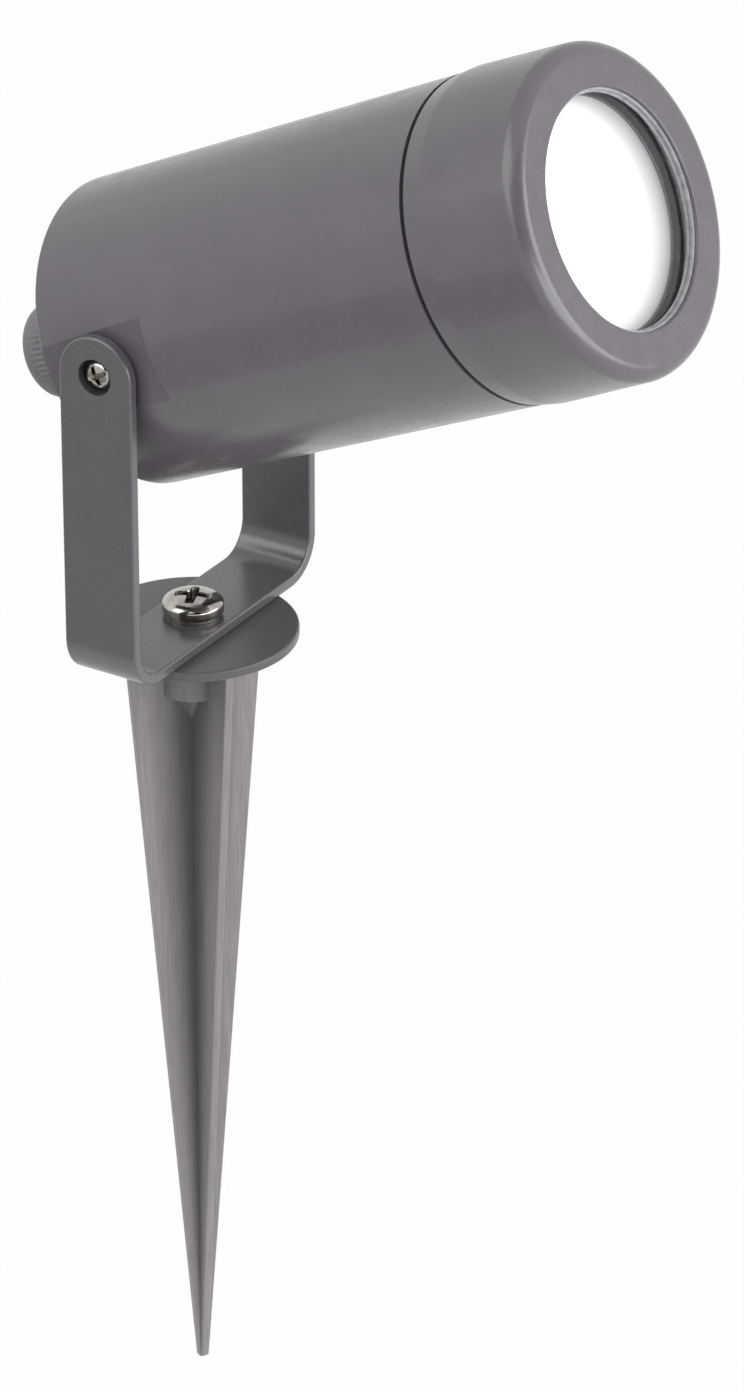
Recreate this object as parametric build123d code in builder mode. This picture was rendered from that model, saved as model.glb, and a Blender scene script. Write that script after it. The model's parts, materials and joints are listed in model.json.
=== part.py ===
"""Garden spike spotlight, in millimetres.

The origin lies on the spike's axis at the underside of its disc, which is the ground line.
+Z points up, the lamp shines towards -Y, and the tilt axis of the head runs along X.
The head is drawn along its own axis: "along" is the distance forwards from the tilt axis,
and "out" is the distance from the head's axis.
"""

import os
from math import cos, pi, radians, sin

from build123d import *

os.makedirs("parts", exist_ok=True)

# ---------------------------------------------------------------- ground spike
disc_radius = 20.0
disc_thick = 2.0
disc_edge = 0.4
spike_length = 162.0
rib_reach = 14.5  # from the spike's axis to a rib's edge, at the disc
rib_tip_reach = 1.0
rib_thick = 1.6
rib_turn = 61.6  # the ribs are not in line with the yoke
rib_edge = 0.25
spike_boss_radius = 6.9
spike_boss_depth = 11.0
spike_point_radius = 4.2
spike_point_depth = 8.0

# ---------------------------------------------------------------- yoke
yoke_strip_width = 15.4
yoke_thick = 2.2
yoke_bend = 6.3  # inside radius of both bends
yoke_edge = 0.45
pivot_rise = 63.2  # from the disc's top to the tilt axis
ear_hub_radius = 5.5
ear_hub_height = 1.6  # how far the hub stands in from the ear
ear_floor = 1.0  # what is left under the sunk screw head
ear_sink_gap = 0.65  # round the sunk screw head
ear_gap = 0.85  # between an ear and the head's flat

# ---------------------------------------------------------------- head
head_tilt = 25.0
lamp_radius = 25.0
lamp_room = 1.2  # round the lamp, inside the housing
spigot_wall = 2.0
spigot_step = 1.8  # from the spigot out to the housing's skin
housing_draft = 1.1  # how much slimmer the housing is at its rear face than at the seam
rear_reach = 12.1  # from the tilt axis back to the rear face
seam_reach = 74.05  # from the tilt axis forwards to the seam
rear_edge = 0.8
rear_wall = 3.0
spigot_length = 19.35
flat_depth = 0.85  # of the flat beside each ear, at the rear face
flat_reach = 12.2  # the flat ends here, ahead of the tilt axis
pivot_boss_wall = 1.0  # round the seat that an ear's hub turns in
pivot_boss_length = 8.0
post_radius = 3.6
post_inset = 4.7  # from the cavity's wall in to a post's axis
post_web = 3.0
wall_overlap = 1.0  # how far a web runs into the wall that it joins
earth_pad_place = (-11.0, -12.0)
earth_pad_radius = 4.2
earth_pad_height = 3.0

# ---------------------------------------------------------------- bezel and glass
seal_thick = 0.8
seal_inset = 0.6  # how deep the seal lies below the skin
bezel_swell = 0.5  # how much wider the bezel grows than the housing at the seam
bezel_taper = 0.23  # how much of that it loses towards its front
bezel_flare = 4.0  # the length over which it swells
bezel_front_edge = 2.6
bezel_lip = 2.0
mouth_cover = 5.5  # how far the lip reaches in over the glass
mouth_edge = 0.4
glass_thick = 3.0
glass_inset = 1.0  # from the spigot's skin in to the glass's edge
glass_chamfer = 0.4
glass_pocket_play = 0.2
gasket_thick = 1.35
gasket_width = 3.2

# ---------------------------------------------------------------- cable gland
cable_radius = 4.0
cable_play = 0.6  # round the cable, in the gland's bore
gland_seal_wall = 1.5
gland_seal_length = 8.0
gland_seal_stand = 2.1  # how far the seal stands out of the gland body
gland_seal_gap = 0.05  # between the seal and the nut's end wall
gland_thread_wall = 1.4
gland_thread_length = 11.4
gland_stem_step = 0.9  # from the rear thread in to the stem
gland_collar_thick = 3.5
gland_collar_margin = 1.1  # from the rear thread out to the collar's flats
gland_washer_thick = 1.0
gland_washer_margin = 2.3  # from the stem out to the washer's edge
locknut_margin = 2.5  # from the stem out to the locknut's flats
locknut_thick = 4.0
gland_stem_stand = 1.0  # how far the stem stands out of the locknut
nut_wall = 2.1
nut_end_wall = 3.9
nut_gap = 0.4  # between the nut and the collar
nut_edge = 1.6
nut_ribs = 52
nut_rib_depth = 0.3

# ---------------------------------------------------------------- lamp and holder
lamp_rim_height = 3.0
lamp_length = 46.0
lamp_behind_glass = 1.75
lamp_waist_radius = 14.0
lamp_waist_rise = 14.0
lamp_base_radius = 10.5
lamp_base_length = 8.0
lamp_base_chamfer = 1.0
lamp_shoulder = 1.0  # from the base out to where the lamp's flank starts
lamp_flank = (0.9, 0.5)  # how the flank runs, forwards and outwards, at both ends of its curve
lamp_seat_gap = 0.4  # between the lamp's base and the holder
lit_rim = 5.5  # from the lit front out to the lamp's edge
lit_dome = 0.8
lit_thick = 1.5
pin_spacing = 10.0
pin_radius = 1.5
pin_head_radius = 2.5
pin_head_thick = 2.5
pin_length = 7.4
lamp_twist = 30.0  # the turn that frees the lamp's pins
holder_radius = 12.5
holder_flats = 19.0
holder_length = 15.1
pin_head_gap = 0.8  # between a pin's head and the holder's front plate
holder_screw_spacing = 17.0
holder_screw_sink = 1.0  # how far its screws' heads lie below the holder's front
holder_screw_stand = 1.0  # how far its screws stand out behind the bracket
contact_radius = 2.0
contact_tail_radius = 0.9
contact_tail_stand = 1.5
contact_thick = 1.1
bracket_thick = 1.2
bracket_width = 24.0
bracket_window_radius = 6.3
bracket_wall_gap = 0.8
terminal_width = 16.0
terminal_depth = 6.0
terminal_height = 14.0
terminal_gap = 0.7  # between the locknut's corners and the terminal block
terminal_turn = -40.0  # from straight up, round the head's axis
terminal_pitch = 5.0
terminal_screw_radius = 1.6
terminal_well = 4.7  # depth of the well that each clamping screw stands in
terminal_screw_height = 3.5
terminal_slot_width = 0.5
terminal_slot_depth = 0.8
lead_radius = 1.1
lead_bend = 2.5
lead_run = 6.0  # straight out of the holder, before the lead's first bend
lead_rise = 9.0  # from the terminal block's entries forwards to the lead's second bend

# ---------------------------------------------------------------- screws
base_screw_radius = 3.0
base_screw_short = 1.2  # how far the base screw ends above its hole's floor
base_head_radius = 5.8
base_head_height = 3.4
base_collar_radius = 5.2  # the spring washer that stays on under the base screw's head
base_collar_height = 0.95
small_screw_radius = 1.5
small_head_radius = 2.8
small_head_height = 1.8
pivot_screw_short = 1.0
small_screw_length = 8.0
earth_screw_radius = 2.0
earth_head_radius = 3.8
earth_head_height = 2.4
earth_screw_length = 5.0
head_side_share = 0.4  # of a screw head's height, what stands straight up below its dome
recess_width_share = 0.26  # of the head's radius, for the cross recess
recess_length_share = 1.05
recess_depth_share = 0.55  # of the head's height
recess_taper = 12.0
base_screw_turn = 20.0  # how each cross recess happens to stand
pivot_screw_turns = (25.0, 60.0)

# ---------------------------------------------------------------- fits
running_clearance = 0.08  # between a shaft and its bore
thread_clearance = 0.05  # between a thread and the hole that it is cut in
loose_clearance = 0.2  # where a piece is only guided
pin_clearance = 0.3  # round the lamp's pins

# ---------------------------------------------------------------- radii of the head, from the lamp out
cavity_radius = lamp_radius + lamp_room
spigot_radius = cavity_radius + spigot_wall
housing_front_radius = spigot_radius + spigot_step
housing_rear_radius = housing_front_radius - housing_draft
bezel_rear_radius = housing_front_radius
bezel_full_radius = bezel_rear_radius + bezel_swell
bezel_front_radius = bezel_full_radius - bezel_taper
bore_radius = spigot_radius + thread_clearance
glass_radius = spigot_radius - glass_inset
gasket_inner_radius = glass_radius - gasket_width
mouth_radius = glass_radius - mouth_cover
lit_radius = lamp_radius - lit_rim
post_offset = cavity_radius - post_inset
flat_offset = housing_rear_radius - flat_depth

# ---------------------------------------------------------------- places across the yoke
ear_inner = flat_offset + ear_gap
ear_outer = ear_inner + yoke_thick
hub_face = ear_inner - ear_hub_height
screw_seat = hub_face + ear_floor
ear_sink_radius = small_head_radius + ear_sink_gap
pivot_boss_radius = ear_hub_radius + pivot_boss_wall
pivot_screw_length = pivot_boss_length + ear_floor - pivot_screw_short
base_screw_length = yoke_thick + disc_thick + spike_boss_depth - base_screw_short

# ---------------------------------------------------------------- radii of the gland, from the cable out
gland_bore_radius = cable_radius + cable_play
gland_seal_radius = cable_radius + gland_seal_wall
gland_thread_radius = gland_seal_radius + gland_thread_wall
gland_stem_radius = gland_thread_radius - gland_stem_step
gland_washer_radius = gland_stem_radius + gland_washer_margin
gland_collar_inradius = gland_thread_radius + gland_collar_margin
locknut_inradius = gland_stem_radius + locknut_margin
nut_radius = gland_thread_radius + nut_wall
terminal_offset = locknut_inradius / cos(radians(30)) + terminal_gap

# ---------------------------------------------------------------- places along the head's axis
cavity_floor = -rear_reach + rear_wall
bezel_rear = seam_reach + seal_thick
spigot_end = seam_reach + spigot_length
glass_rear = spigot_end + gasket_thick
glass_front = glass_rear + glass_thick
bezel_front = glass_front + bezel_lip
lamp_front = glass_rear - lamp_behind_glass
lamp_rear = lamp_front - lamp_length
holder_front = lamp_rear - lamp_seat_gap
holder_rear = holder_front - holder_length
bracket_rear = holder_rear - bracket_thick
pin_end = lamp_rear - pin_length
contact_front = pin_end - pin_clearance
chamber_front = pin_end + pin_head_thick + pin_head_gap
chamber_floor = contact_front - contact_thick
collar_front = -rear_reach - gland_washer_thick
collar_rear = collar_front - gland_collar_thick
thread_end = collar_rear - gland_thread_length
seal_rear = thread_end - gland_seal_stand
nut_shoulder = seal_rear - gland_seal_gap
nut_end = nut_shoulder - nut_end_wall

pivot = Vector(0, 0, disc_thick + pivot_rise)
forwards = Vector(0, -cos(radians(head_tilt)), sin(radians(head_tilt)))
head_axis = Axis(pivot, forwards)
head_section = Plane(origin=pivot, x_dir=forwards, z_dir=(-1, 0, 0))


def across(along, turn=0.0):
    """The plane square to the head's axis at a distance along it: X is sideways, Y is up, then turned."""
    sideways = Vector(1, 0, 0).rotate(Axis((0, 0, 0), forwards), turn)
    return Plane(origin=pivot + forwards * along, x_dir=sideways, z_dir=forwards)


def on_head(sideways, up, along):
    """A point given by its distances from the head's axis and along it."""
    return across(along).from_local_coords(Vector(sideways, up, 0))


def on_block(sideways, up, along):
    """A point given as in on_head, but turned with the terminal block."""
    return across(along, terminal_turn).from_local_coords(Vector(sideways, up, 0))


def head_seat(sideways, up, along):
    """The plane at a point of the head that faces forwards, such as under a screw's head."""
    return Plane(origin=on_head(sideways, up, along), x_dir=(1, 0, 0), z_dir=forwards)


def side_plane(side, distance):
    """The plane square to X at a distance from the middle, facing outwards on that side."""
    return Plane(origin=(side * distance, 0, pivot.Z), x_dir=(0, -side, 0), z_dir=(side, 0, 0))


def section_of(seat):
    """The half-section plane of a turned piece: X runs along the seat's axis, Y out from it."""
    return Plane(origin=seat.origin, x_dir=seat.z_dir, z_dir=-seat.x_dir)


def pan_screw(seat, shank_radius, shank_length, head_radius, head_height):
    """A pan-head screw with a cross recess. The seat is the plane under its head, facing out."""
    side_height = head_height * head_side_share
    dome_height = head_height - side_height
    dome_radius = (dome_height ** 2 + head_radius ** 2) / (2 * dome_height)
    half_way = (head_height - dome_radius + (dome_radius ** 2 - head_radius ** 2 / 4) ** 0.5,
                head_radius / 2)
    slot_width = head_radius * recess_width_share
    slot_length = head_radius * recess_length_share
    recess_depth = head_height * recess_depth_share
    with BuildPart() as screw:
        with BuildSketch(section_of(seat)):
            with BuildLine():
                Polyline((head_height, 0), (-shank_length, 0), (-shank_length, shank_radius),
                         (0, shank_radius), (0, head_radius), (side_height, head_radius))
                ThreePointArc((side_height, head_radius), half_way, (head_height, 0))
            make_face()
        revolve(axis=Axis(seat.origin, seat.z_dir))
        with BuildSketch(seat.offset(head_height)):
            Rectangle(slot_length, slot_width)
            Rectangle(slot_width, slot_length)
        extrude(amount=-recess_depth, taper=recess_taper, mode=Mode.SUBTRACT)
    return screw.part


def save(part, label):
    """Give a piece its name and write it."""
    part.label = label
    export_step(part, f"parts/{label}.step")


# ================================================================ ground spike
with BuildPart() as ground_spike:
    for quarter in (0, 90):
        # A plate that tapers to the point. Two of them cross to make the four ribs.
        for level, reach in ((0, rib_reach), (-spike_length, rib_tip_reach)):
            with BuildSketch(Plane.XY.offset(level).rotated((0, 0, rib_turn + quarter))):
                RectangleRounded(2 * reach, rib_thick, rib_edge)
        loft()
    with BuildSketch():
        Circle(disc_radius)
    extrude(amount=disc_thick)
    fillet(ground_spike.edges().filter_by(GeomType.CIRCLE).group_by(SortBy.RADIUS)[-1], radius=disc_edge)
    with BuildSketch(Plane.XZ):
        with BuildLine():
            Polyline((0, 0), (spike_boss_radius, 0), (spike_boss_radius, -spike_boss_depth),
                     (spike_point_radius, -spike_boss_depth),
                     (0, -spike_boss_depth - spike_point_depth), close=True)
        make_face()
    revolve(axis=Axis.Z)
    with BuildSketch(Plane.XY.offset(disc_thick)):
        Circle(base_screw_radius + thread_clearance)
    extrude(amount=-(disc_thick + spike_boss_depth), mode=Mode.SUBTRACT)
save(ground_spike.part, "ground_spike")

base_screw_seat = Plane.XY.offset(disc_thick + yoke_thick + base_collar_height)
with BuildPart() as base_screw:
    add(pan_screw(base_screw_seat.rotated((0, 0, base_screw_turn)), base_screw_radius,
                  base_screw_length + base_collar_height, base_head_radius, base_head_height))
    with BuildSketch(base_screw_seat):
        Circle(base_collar_radius)
    extrude(amount=-base_collar_height)
save(base_screw.part, "base_screw")

# ================================================================ yoke
ear_top = pivot.Z + yoke_strip_width / 2
with BuildPart() as yoke:
    with BuildSketch(Plane.XZ):
        with BuildLine():
            FilletPolyline((-ear_outer, ear_top), (-ear_outer, disc_thick), (ear_outer, disc_thick),
                           (ear_outer, ear_top), radius=yoke_bend + yoke_thick)
            Line((ear_outer, ear_top), (ear_inner, ear_top))
            FilletPolyline((ear_inner, ear_top), (ear_inner, disc_thick + yoke_thick),
                           (-ear_inner, disc_thick + yoke_thick), (-ear_inner, ear_top),
                           radius=yoke_bend)
            Line((-ear_inner, ear_top), (-ear_outer, ear_top))
        make_face()
    extrude(amount=yoke_strip_width / 2, both=True)
    with BuildSketch(Plane.YZ):
        with BuildLine():
            Polyline((-yoke_strip_width / 2, pivot.Z), (-yoke_strip_width / 2, 0),
                     (yoke_strip_width / 2, 0), (yoke_strip_width / 2, pivot.Z))
            ThreePointArc((yoke_strip_width / 2, pivot.Z), (0, ear_top),
                          (-yoke_strip_width / 2, pivot.Z))
        make_face()
    extrude(amount=ear_outer, both=True, mode=Mode.INTERSECT)
    strip_edges = yoke.edges().filter_by(Axis.Y, reverse=True).filter_by(Axis.X, reverse=True)
    fillet(strip_edges, radius=yoke_edge)
    for side in (-1, 1):
        with BuildSketch(side_plane(side, hub_face)):
            Circle(ear_hub_radius)
        extrude(amount=ear_hub_height + yoke_thick / 2)
        with BuildSketch(side_plane(side, screw_seat)):
            Circle(ear_sink_radius)
        extrude(amount=ear_outer, mode=Mode.SUBTRACT)
        with BuildSketch(side_plane(side, hub_face)):
            Circle(small_screw_radius + running_clearance)
        extrude(amount=ear_outer, mode=Mode.SUBTRACT)
    with BuildSketch(Plane.XY):
        Circle(base_screw_radius + running_clearance)
    extrude(amount=disc_thick + yoke_thick * 2, mode=Mode.SUBTRACT)
save(yoke.part, "yoke")

# ================================================================ housing
with BuildPart() as housing:
    with BuildSketch(head_section):
        with BuildLine():
            Polyline((-rear_reach, 0), (-rear_reach, housing_rear_radius),
                     (seam_reach, housing_front_radius), (seam_reach, spigot_radius),
                     (spigot_end, spigot_radius), (spigot_end, 0), close=True)
        make_face()
    revolve(axis=head_axis)
    rear_rim = housing.edges().filter_by(GeomType.CIRCLE).sort_by(head_axis)[0]
    fillet(rear_rim, radius=rear_edge)
    spigot_rim = housing.edges().filter_by(GeomType.CIRCLE).sort_by(head_axis)[-1]
    chamfer(spigot_rim, length=rear_edge)
    with BuildSketch(across(cavity_floor)):
        Circle(cavity_radius)
    extrude(amount=spigot_end - cavity_floor, mode=Mode.SUBTRACT)
    for side in (-1, 1):
        # The boss that a pivot screw is threaded in.
        with BuildSketch(side_plane(side, hub_face - pivot_boss_length)):
            Circle(pivot_boss_radius)
        extrude(amount=pivot_boss_length)
        # The post that carries one end of the holder's bracket, and the web that joins it to the wall.
        with BuildSketch(across(cavity_floor)):
            with Locations((0, side * post_offset)):
                Circle(post_radius)
            with Locations((0, side * (post_offset + cavity_radius) / 2)):
                Rectangle(post_web, cavity_radius - post_offset + wall_overlap)
        extrude(amount=bracket_rear - cavity_floor)
    with BuildSketch(across(cavity_floor)):
        with Locations(earth_pad_place):
            Circle(earth_pad_radius)
    extrude(amount=earth_pad_height)
    for side in (-1, 1):
        # The flat beside the ear, and the seat that the ear's hub turns in.
        with BuildSketch(Plane(origin=on_head(side * flat_offset, 0, 0), x_dir=forwards,
                               z_dir=(side, 0, 0))):
            with Locations((flat_reach, 0)):
                Rectangle(flat_reach + rear_reach * 2, housing_front_radius * 2,
                          align=(Align.MAX, Align.CENTER))
        extrude(amount=housing_front_radius, mode=Mode.SUBTRACT)
        with BuildSketch(side_plane(side, hub_face)):
            Circle(ear_hub_radius + running_clearance)
        extrude(amount=ear_outer, mode=Mode.SUBTRACT)
        with BuildSketch(side_plane(side, hub_face)):
            Circle(small_screw_radius + thread_clearance)
        extrude(amount=-(pivot_boss_length - pivot_screw_short), mode=Mode.SUBTRACT)
        with BuildSketch(across(bracket_rear)):
            with Locations((0, side * post_offset)):
                Circle(small_screw_radius + thread_clearance)
        extrude(amount=-small_screw_length, mode=Mode.SUBTRACT)
    with BuildSketch(across(-rear_reach)):
        Circle(gland_stem_radius + thread_clearance)
    extrude(amount=rear_wall, mode=Mode.SUBTRACT)
    with BuildSketch(across(cavity_floor + earth_pad_height)):
        with Locations(earth_pad_place):
            Circle(earth_screw_radius + thread_clearance)
    extrude(amount=-earth_screw_length, mode=Mode.SUBTRACT)
save(housing.part, "housing")

pivot_screws = Compound(children=[
    pan_screw(side_plane(side, screw_seat).rotated((turn, 0, 0)), small_screw_radius,
              pivot_screw_length, small_head_radius, small_head_height)
    for side, turn in zip((-1, 1), pivot_screw_turns)])
save(pivot_screws, "pivot_screws")

earth_seat = head_seat(*earth_pad_place, cavity_floor + earth_pad_height)
earth_screw = pan_screw(earth_seat, earth_screw_radius, earth_screw_length - thread_clearance,
                        earth_head_radius, earth_head_height)
save(earth_screw, "earth_screw")

# ================================================================ seam seal
with BuildPart() as bezel_seal:
    with BuildSketch(across(seam_reach)):
        Circle(bezel_rear_radius - seal_inset)
        Circle(bore_radius, mode=Mode.SUBTRACT)
    extrude(amount=seal_thick)
save(bezel_seal.part, "bezel_seal")

# ================================================================ bezel
with BuildPart() as bezel:
    with BuildSketch(head_section):
        with BuildLine():
            Polyline((bezel_rear, bore_radius), (bezel_rear, bezel_rear_radius),
                     (bezel_rear + bezel_flare, bezel_full_radius),
                     (bezel_front, bezel_front_radius), (bezel_front, mouth_radius),
                     (glass_front, mouth_radius),
                     (glass_front, glass_radius + glass_pocket_play),
                     (glass_rear, glass_radius + glass_pocket_play),
                     (glass_rear - gasket_thick / 2, bore_radius), close=True)
        make_face()
    revolve(axis=head_axis)
    front_rims = bezel.edges().filter_by(GeomType.CIRCLE).group_by(head_axis)[-1].sort_by(SortBy.RADIUS)
    fillet(front_rims[-1], radius=bezel_front_edge)
    mouth_rim = bezel.edges().filter_by(GeomType.CIRCLE).group_by(head_axis)[-1].sort_by(SortBy.RADIUS)[0]
    fillet(mouth_rim, radius=mouth_edge)
save(bezel.part, "bezel")

# ================================================================ glass and its gasket
with BuildPart() as front_glass:
    with BuildSketch(across(glass_rear)):
        Circle(glass_radius)
    extrude(amount=glass_thick)
    chamfer(front_glass.edges().filter_by(GeomType.CIRCLE), length=glass_chamfer)
save(front_glass.part, "front_glass")

with BuildPart() as glass_gasket:
    with BuildSketch(across(spigot_end)):
        Circle(glass_radius)
        Circle(gasket_inner_radius, mode=Mode.SUBTRACT)
    extrude(amount=gasket_thick)
save(glass_gasket.part, "glass_gasket")

# ================================================================ cable gland
with BuildPart() as gland_washer:
    with BuildSketch(across(collar_front)):
        Circle(gland_washer_radius)
        Circle(gland_stem_radius + thread_clearance, mode=Mode.SUBTRACT)
    extrude(amount=gland_washer_thick)
save(gland_washer.part, "gland_washer")

seal_pocket_depth = gland_seal_length - gland_seal_stand
with BuildPart() as gland_body:
    with BuildSketch(across(collar_rear)):
        RegularPolygon(gland_collar_inradius, 6, major_radius=False)
    extrude(amount=gland_collar_thick)
    with BuildSketch(across(collar_front)):
        Circle(gland_stem_radius)
    extrude(amount=gland_washer_thick + rear_wall + locknut_thick + gland_stem_stand)
    with BuildSketch(across(thread_end)):
        Circle(gland_thread_radius)
    extrude(amount=gland_thread_length)
    with BuildSketch(across(thread_end)):
        Circle(gland_bore_radius)
    extrude(amount=-2 * thread_end, mode=Mode.SUBTRACT)
    with BuildSketch(across(thread_end)):
        Circle(gland_seal_radius + running_clearance)
    extrude(amount=seal_pocket_depth, mode=Mode.SUBTRACT)
save(gland_body.part, "gland_body")

with BuildPart() as gland_locknut:
    with BuildSketch(across(cavity_floor)):
        RegularPolygon(locknut_inradius, 6, major_radius=False)
        Circle(gland_stem_radius + thread_clearance, mode=Mode.SUBTRACT)
    extrude(amount=locknut_thick)
save(gland_locknut.part, "gland_locknut")

with BuildPart() as gland_seal:
    with BuildSketch(across(seal_rear)):
        Circle(gland_seal_radius)
        Circle(cable_radius, mode=Mode.SUBTRACT)
    extrude(amount=gland_seal_length)
save(gland_seal.part, "gland_seal")

nut_bore_radius = gland_thread_radius + running_clearance
with BuildPart() as gland_nut:
    with BuildSketch(head_section):
        with BuildLine():
            Polyline((nut_end, gland_bore_radius), (nut_end, nut_radius),
                     (collar_rear - nut_gap, nut_radius), (collar_rear - nut_gap, nut_bore_radius),
                     (nut_shoulder, nut_bore_radius), (nut_shoulder, gland_bore_radius), close=True)
        make_face()
    revolve(axis=head_axis)
    end_rims = gland_nut.edges().filter_by(GeomType.CIRCLE).group_by(head_axis)[0].sort_by(SortBy.RADIUS)
    fillet(end_rims[-1], radius=nut_edge)
    fillet(gland_nut.edges().filter_by(GeomType.CIRCLE).group_by(head_axis)[0].sort_by(SortBy.RADIUS)[0],
           radius=nut_edge / 2)
    with BuildSketch(across(nut_end + nut_edge)):
        with PolarLocations(nut_radius + nut_rib_depth / 2, nut_ribs):
            Rectangle(nut_rib_depth * 3, pi * nut_radius / nut_ribs)
    extrude(amount=collar_rear - nut_end, mode=Mode.SUBTRACT)
save(gland_nut.part, "gland_nut")

# ================================================================ lamp
with BuildPart() as lamp_shell:
    with BuildSketch(head_section):
        with BuildLine():
            base_top = lamp_rear + lamp_base_length
            waist = base_top + lamp_waist_rise
            Polyline((base_top, 0), (base_top, lamp_base_radius + lamp_shoulder),
                     (waist, lamp_waist_radius))
            Spline((waist, lamp_waist_radius), (lamp_front - lamp_rim_height, lamp_radius),
                   tangents=(lamp_flank, lamp_flank))
            Polyline((lamp_front - lamp_rim_height, lamp_radius), (lamp_front, lamp_radius),
                     (lamp_front, lit_radius + thread_clearance),
                     (lamp_front - lit_thick, lit_radius + thread_clearance),
                     (lamp_front - lit_thick, 0), (base_top, 0))
        make_face()
    revolve(axis=head_axis)
save(lamp_shell.part, "lamp_shell")

with BuildPart() as lamp_base:
    with BuildSketch(across(lamp_rear)):
        Circle(lamp_base_radius)
    extrude(amount=lamp_base_length)
    chamfer(lamp_base.edges().filter_by(GeomType.CIRCLE).sort_by(head_axis)[0],
            length=lamp_base_chamfer)
save(lamp_base.part, "lamp_base")

with BuildPart() as lamp_lens:
    with BuildSketch(head_section):
        with BuildLine():
            Polyline((lamp_front, lit_radius), (lamp_front - lit_thick, lit_radius),
                     (lamp_front - lit_thick, 0), (lamp_front + lit_dome, 0))
            ThreePointArc((lamp_front + lit_dome, 0), (lamp_front + lit_dome * 0.75, lit_radius / 2),
                          (lamp_front, lit_radius))
        make_face()
    revolve(axis=head_axis)
save(lamp_lens.part, "lamp_lens")


def lamp_pin(up):
    """One pin of the lamp, with the mushroom end that hooks behind the holder's front plate."""
    pin_section = Plane(origin=on_head(0, up, 0), x_dir=forwards, z_dir=(-1, 0, 0))
    with BuildPart() as pin:
        with BuildSketch(pin_section):
            with BuildLine():
                Polyline((lamp_rear, 0), (lamp_rear, pin_radius),
                         (pin_end + pin_head_thick, pin_radius),
                         (pin_end + pin_head_thick, pin_head_radius), (pin_end, pin_head_radius),
                         (pin_end, 0), close=True)
            make_face()
        revolve(axis=Axis(on_head(0, up, 0), forwards))
    return pin.part


lamp_pins = Compound(children=[lamp_pin(side * pin_spacing / 2) for side in (-1, 1)])
save(lamp_pins, "lamp_pins")

# ================================================================ lampholder
pin_circle = pin_spacing / 2
chamber_width = 2 * (pin_head_radius + pin_clearance)
slot_width = 2 * (pin_radius + pin_clearance)
with BuildPart() as lampholder:
    with BuildSketch(across(holder_rear)):
        Circle(holder_radius)
        Rectangle(holder_radius * 2, holder_flats, mode=Mode.INTERSECT)
    extrude(amount=holder_length)
    for start in (90, 270):
        # The curved slot that a pin's shank turns in, and the hole that lets its head in.
        with BuildSketch(across(chamber_front)):
            with BuildLine(mode=Mode.PRIVATE):
                turn_arc = CenterArc((0, 0), pin_circle, start, lamp_twist)
            SlotArc(turn_arc, slot_width)
            with PolarLocations(pin_circle, 1, start_angle=start + lamp_twist):
                Circle(pin_head_radius + pin_clearance)
        extrude(amount=holder_front - chamber_front, mode=Mode.SUBTRACT)
        # The chamber behind the front plate, where the pin's head turns over its contact.
        with BuildSketch(across(chamber_floor)):
            SlotArc(turn_arc, chamber_width)
        extrude(amount=chamber_front - chamber_floor, mode=Mode.SUBTRACT)
        with BuildSketch(across(holder_rear)):
            with PolarLocations(pin_circle, 1, start_angle=start):
                Circle(contact_tail_radius + thread_clearance)
        extrude(amount=chamber_floor - holder_rear, mode=Mode.SUBTRACT)
    with BuildSketch(across(holder_rear)):
        with GridLocations(holder_screw_spacing, 0, 2, 1):
            Circle(small_screw_radius + thread_clearance)
    extrude(amount=holder_length, mode=Mode.SUBTRACT)
    with BuildSketch(across(holder_front)):
        with GridLocations(holder_screw_spacing, 0, 2, 1):
            Circle(small_head_radius + loose_clearance)
    extrude(amount=-(small_head_height + holder_screw_sink), mode=Mode.SUBTRACT)
save(lampholder.part, "lampholder")


def holder_contact(up):
    """A brass contact: the pad behind a pin's head, and the tail that leaves the holder's back."""
    with BuildPart() as contact:
        with BuildSketch(across(chamber_floor)):
            with Locations((0, up)):
                Circle(contact_radius)
        extrude(amount=contact_front - chamber_floor)
        with BuildSketch(across(chamber_floor)):
            with Locations((0, up)):
                Circle(contact_tail_radius)
        extrude(amount=-(chamber_floor - holder_rear + contact_tail_stand))
    return contact.part


holder_contacts = Compound(children=[holder_contact(side * pin_circle) for side in (-1, 1)])
save(holder_contacts, "holder_contacts")

with BuildPart() as holder_bracket:
    with BuildSketch(across(bracket_rear)):
        Circle(cavity_radius - bracket_wall_gap)
        Rectangle(bracket_width, cavity_radius * 2, mode=Mode.INTERSECT)
        Circle(bracket_window_radius, mode=Mode.SUBTRACT)
        with GridLocations(0, post_offset * 2, 1, 2):
            Circle(small_screw_radius + loose_clearance, mode=Mode.SUBTRACT)
        with GridLocations(holder_screw_spacing, 0, 2, 1):
            Circle(small_screw_radius + thread_clearance, mode=Mode.SUBTRACT)
    extrude(amount=bracket_thick)
save(holder_bracket.part, "holder_bracket")


bracket_screws = Compound(children=[
    pan_screw(head_seat(0, side * post_offset, holder_rear), small_screw_radius,
              small_screw_length, small_head_radius, small_head_height) for side in (-1, 1)])
save(bracket_screws, "bracket_screws")

holder_screw_seat = holder_front - small_head_height - holder_screw_sink
holder_screws = Compound(children=[
    pan_screw(head_seat(side * holder_screw_spacing / 2, 0, holder_screw_seat), small_screw_radius,
              holder_screw_seat - bracket_rear + holder_screw_stand, small_head_radius, small_head_height)
    for side in (-1, 1)])
save(holder_screws, "holder_screws")

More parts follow.
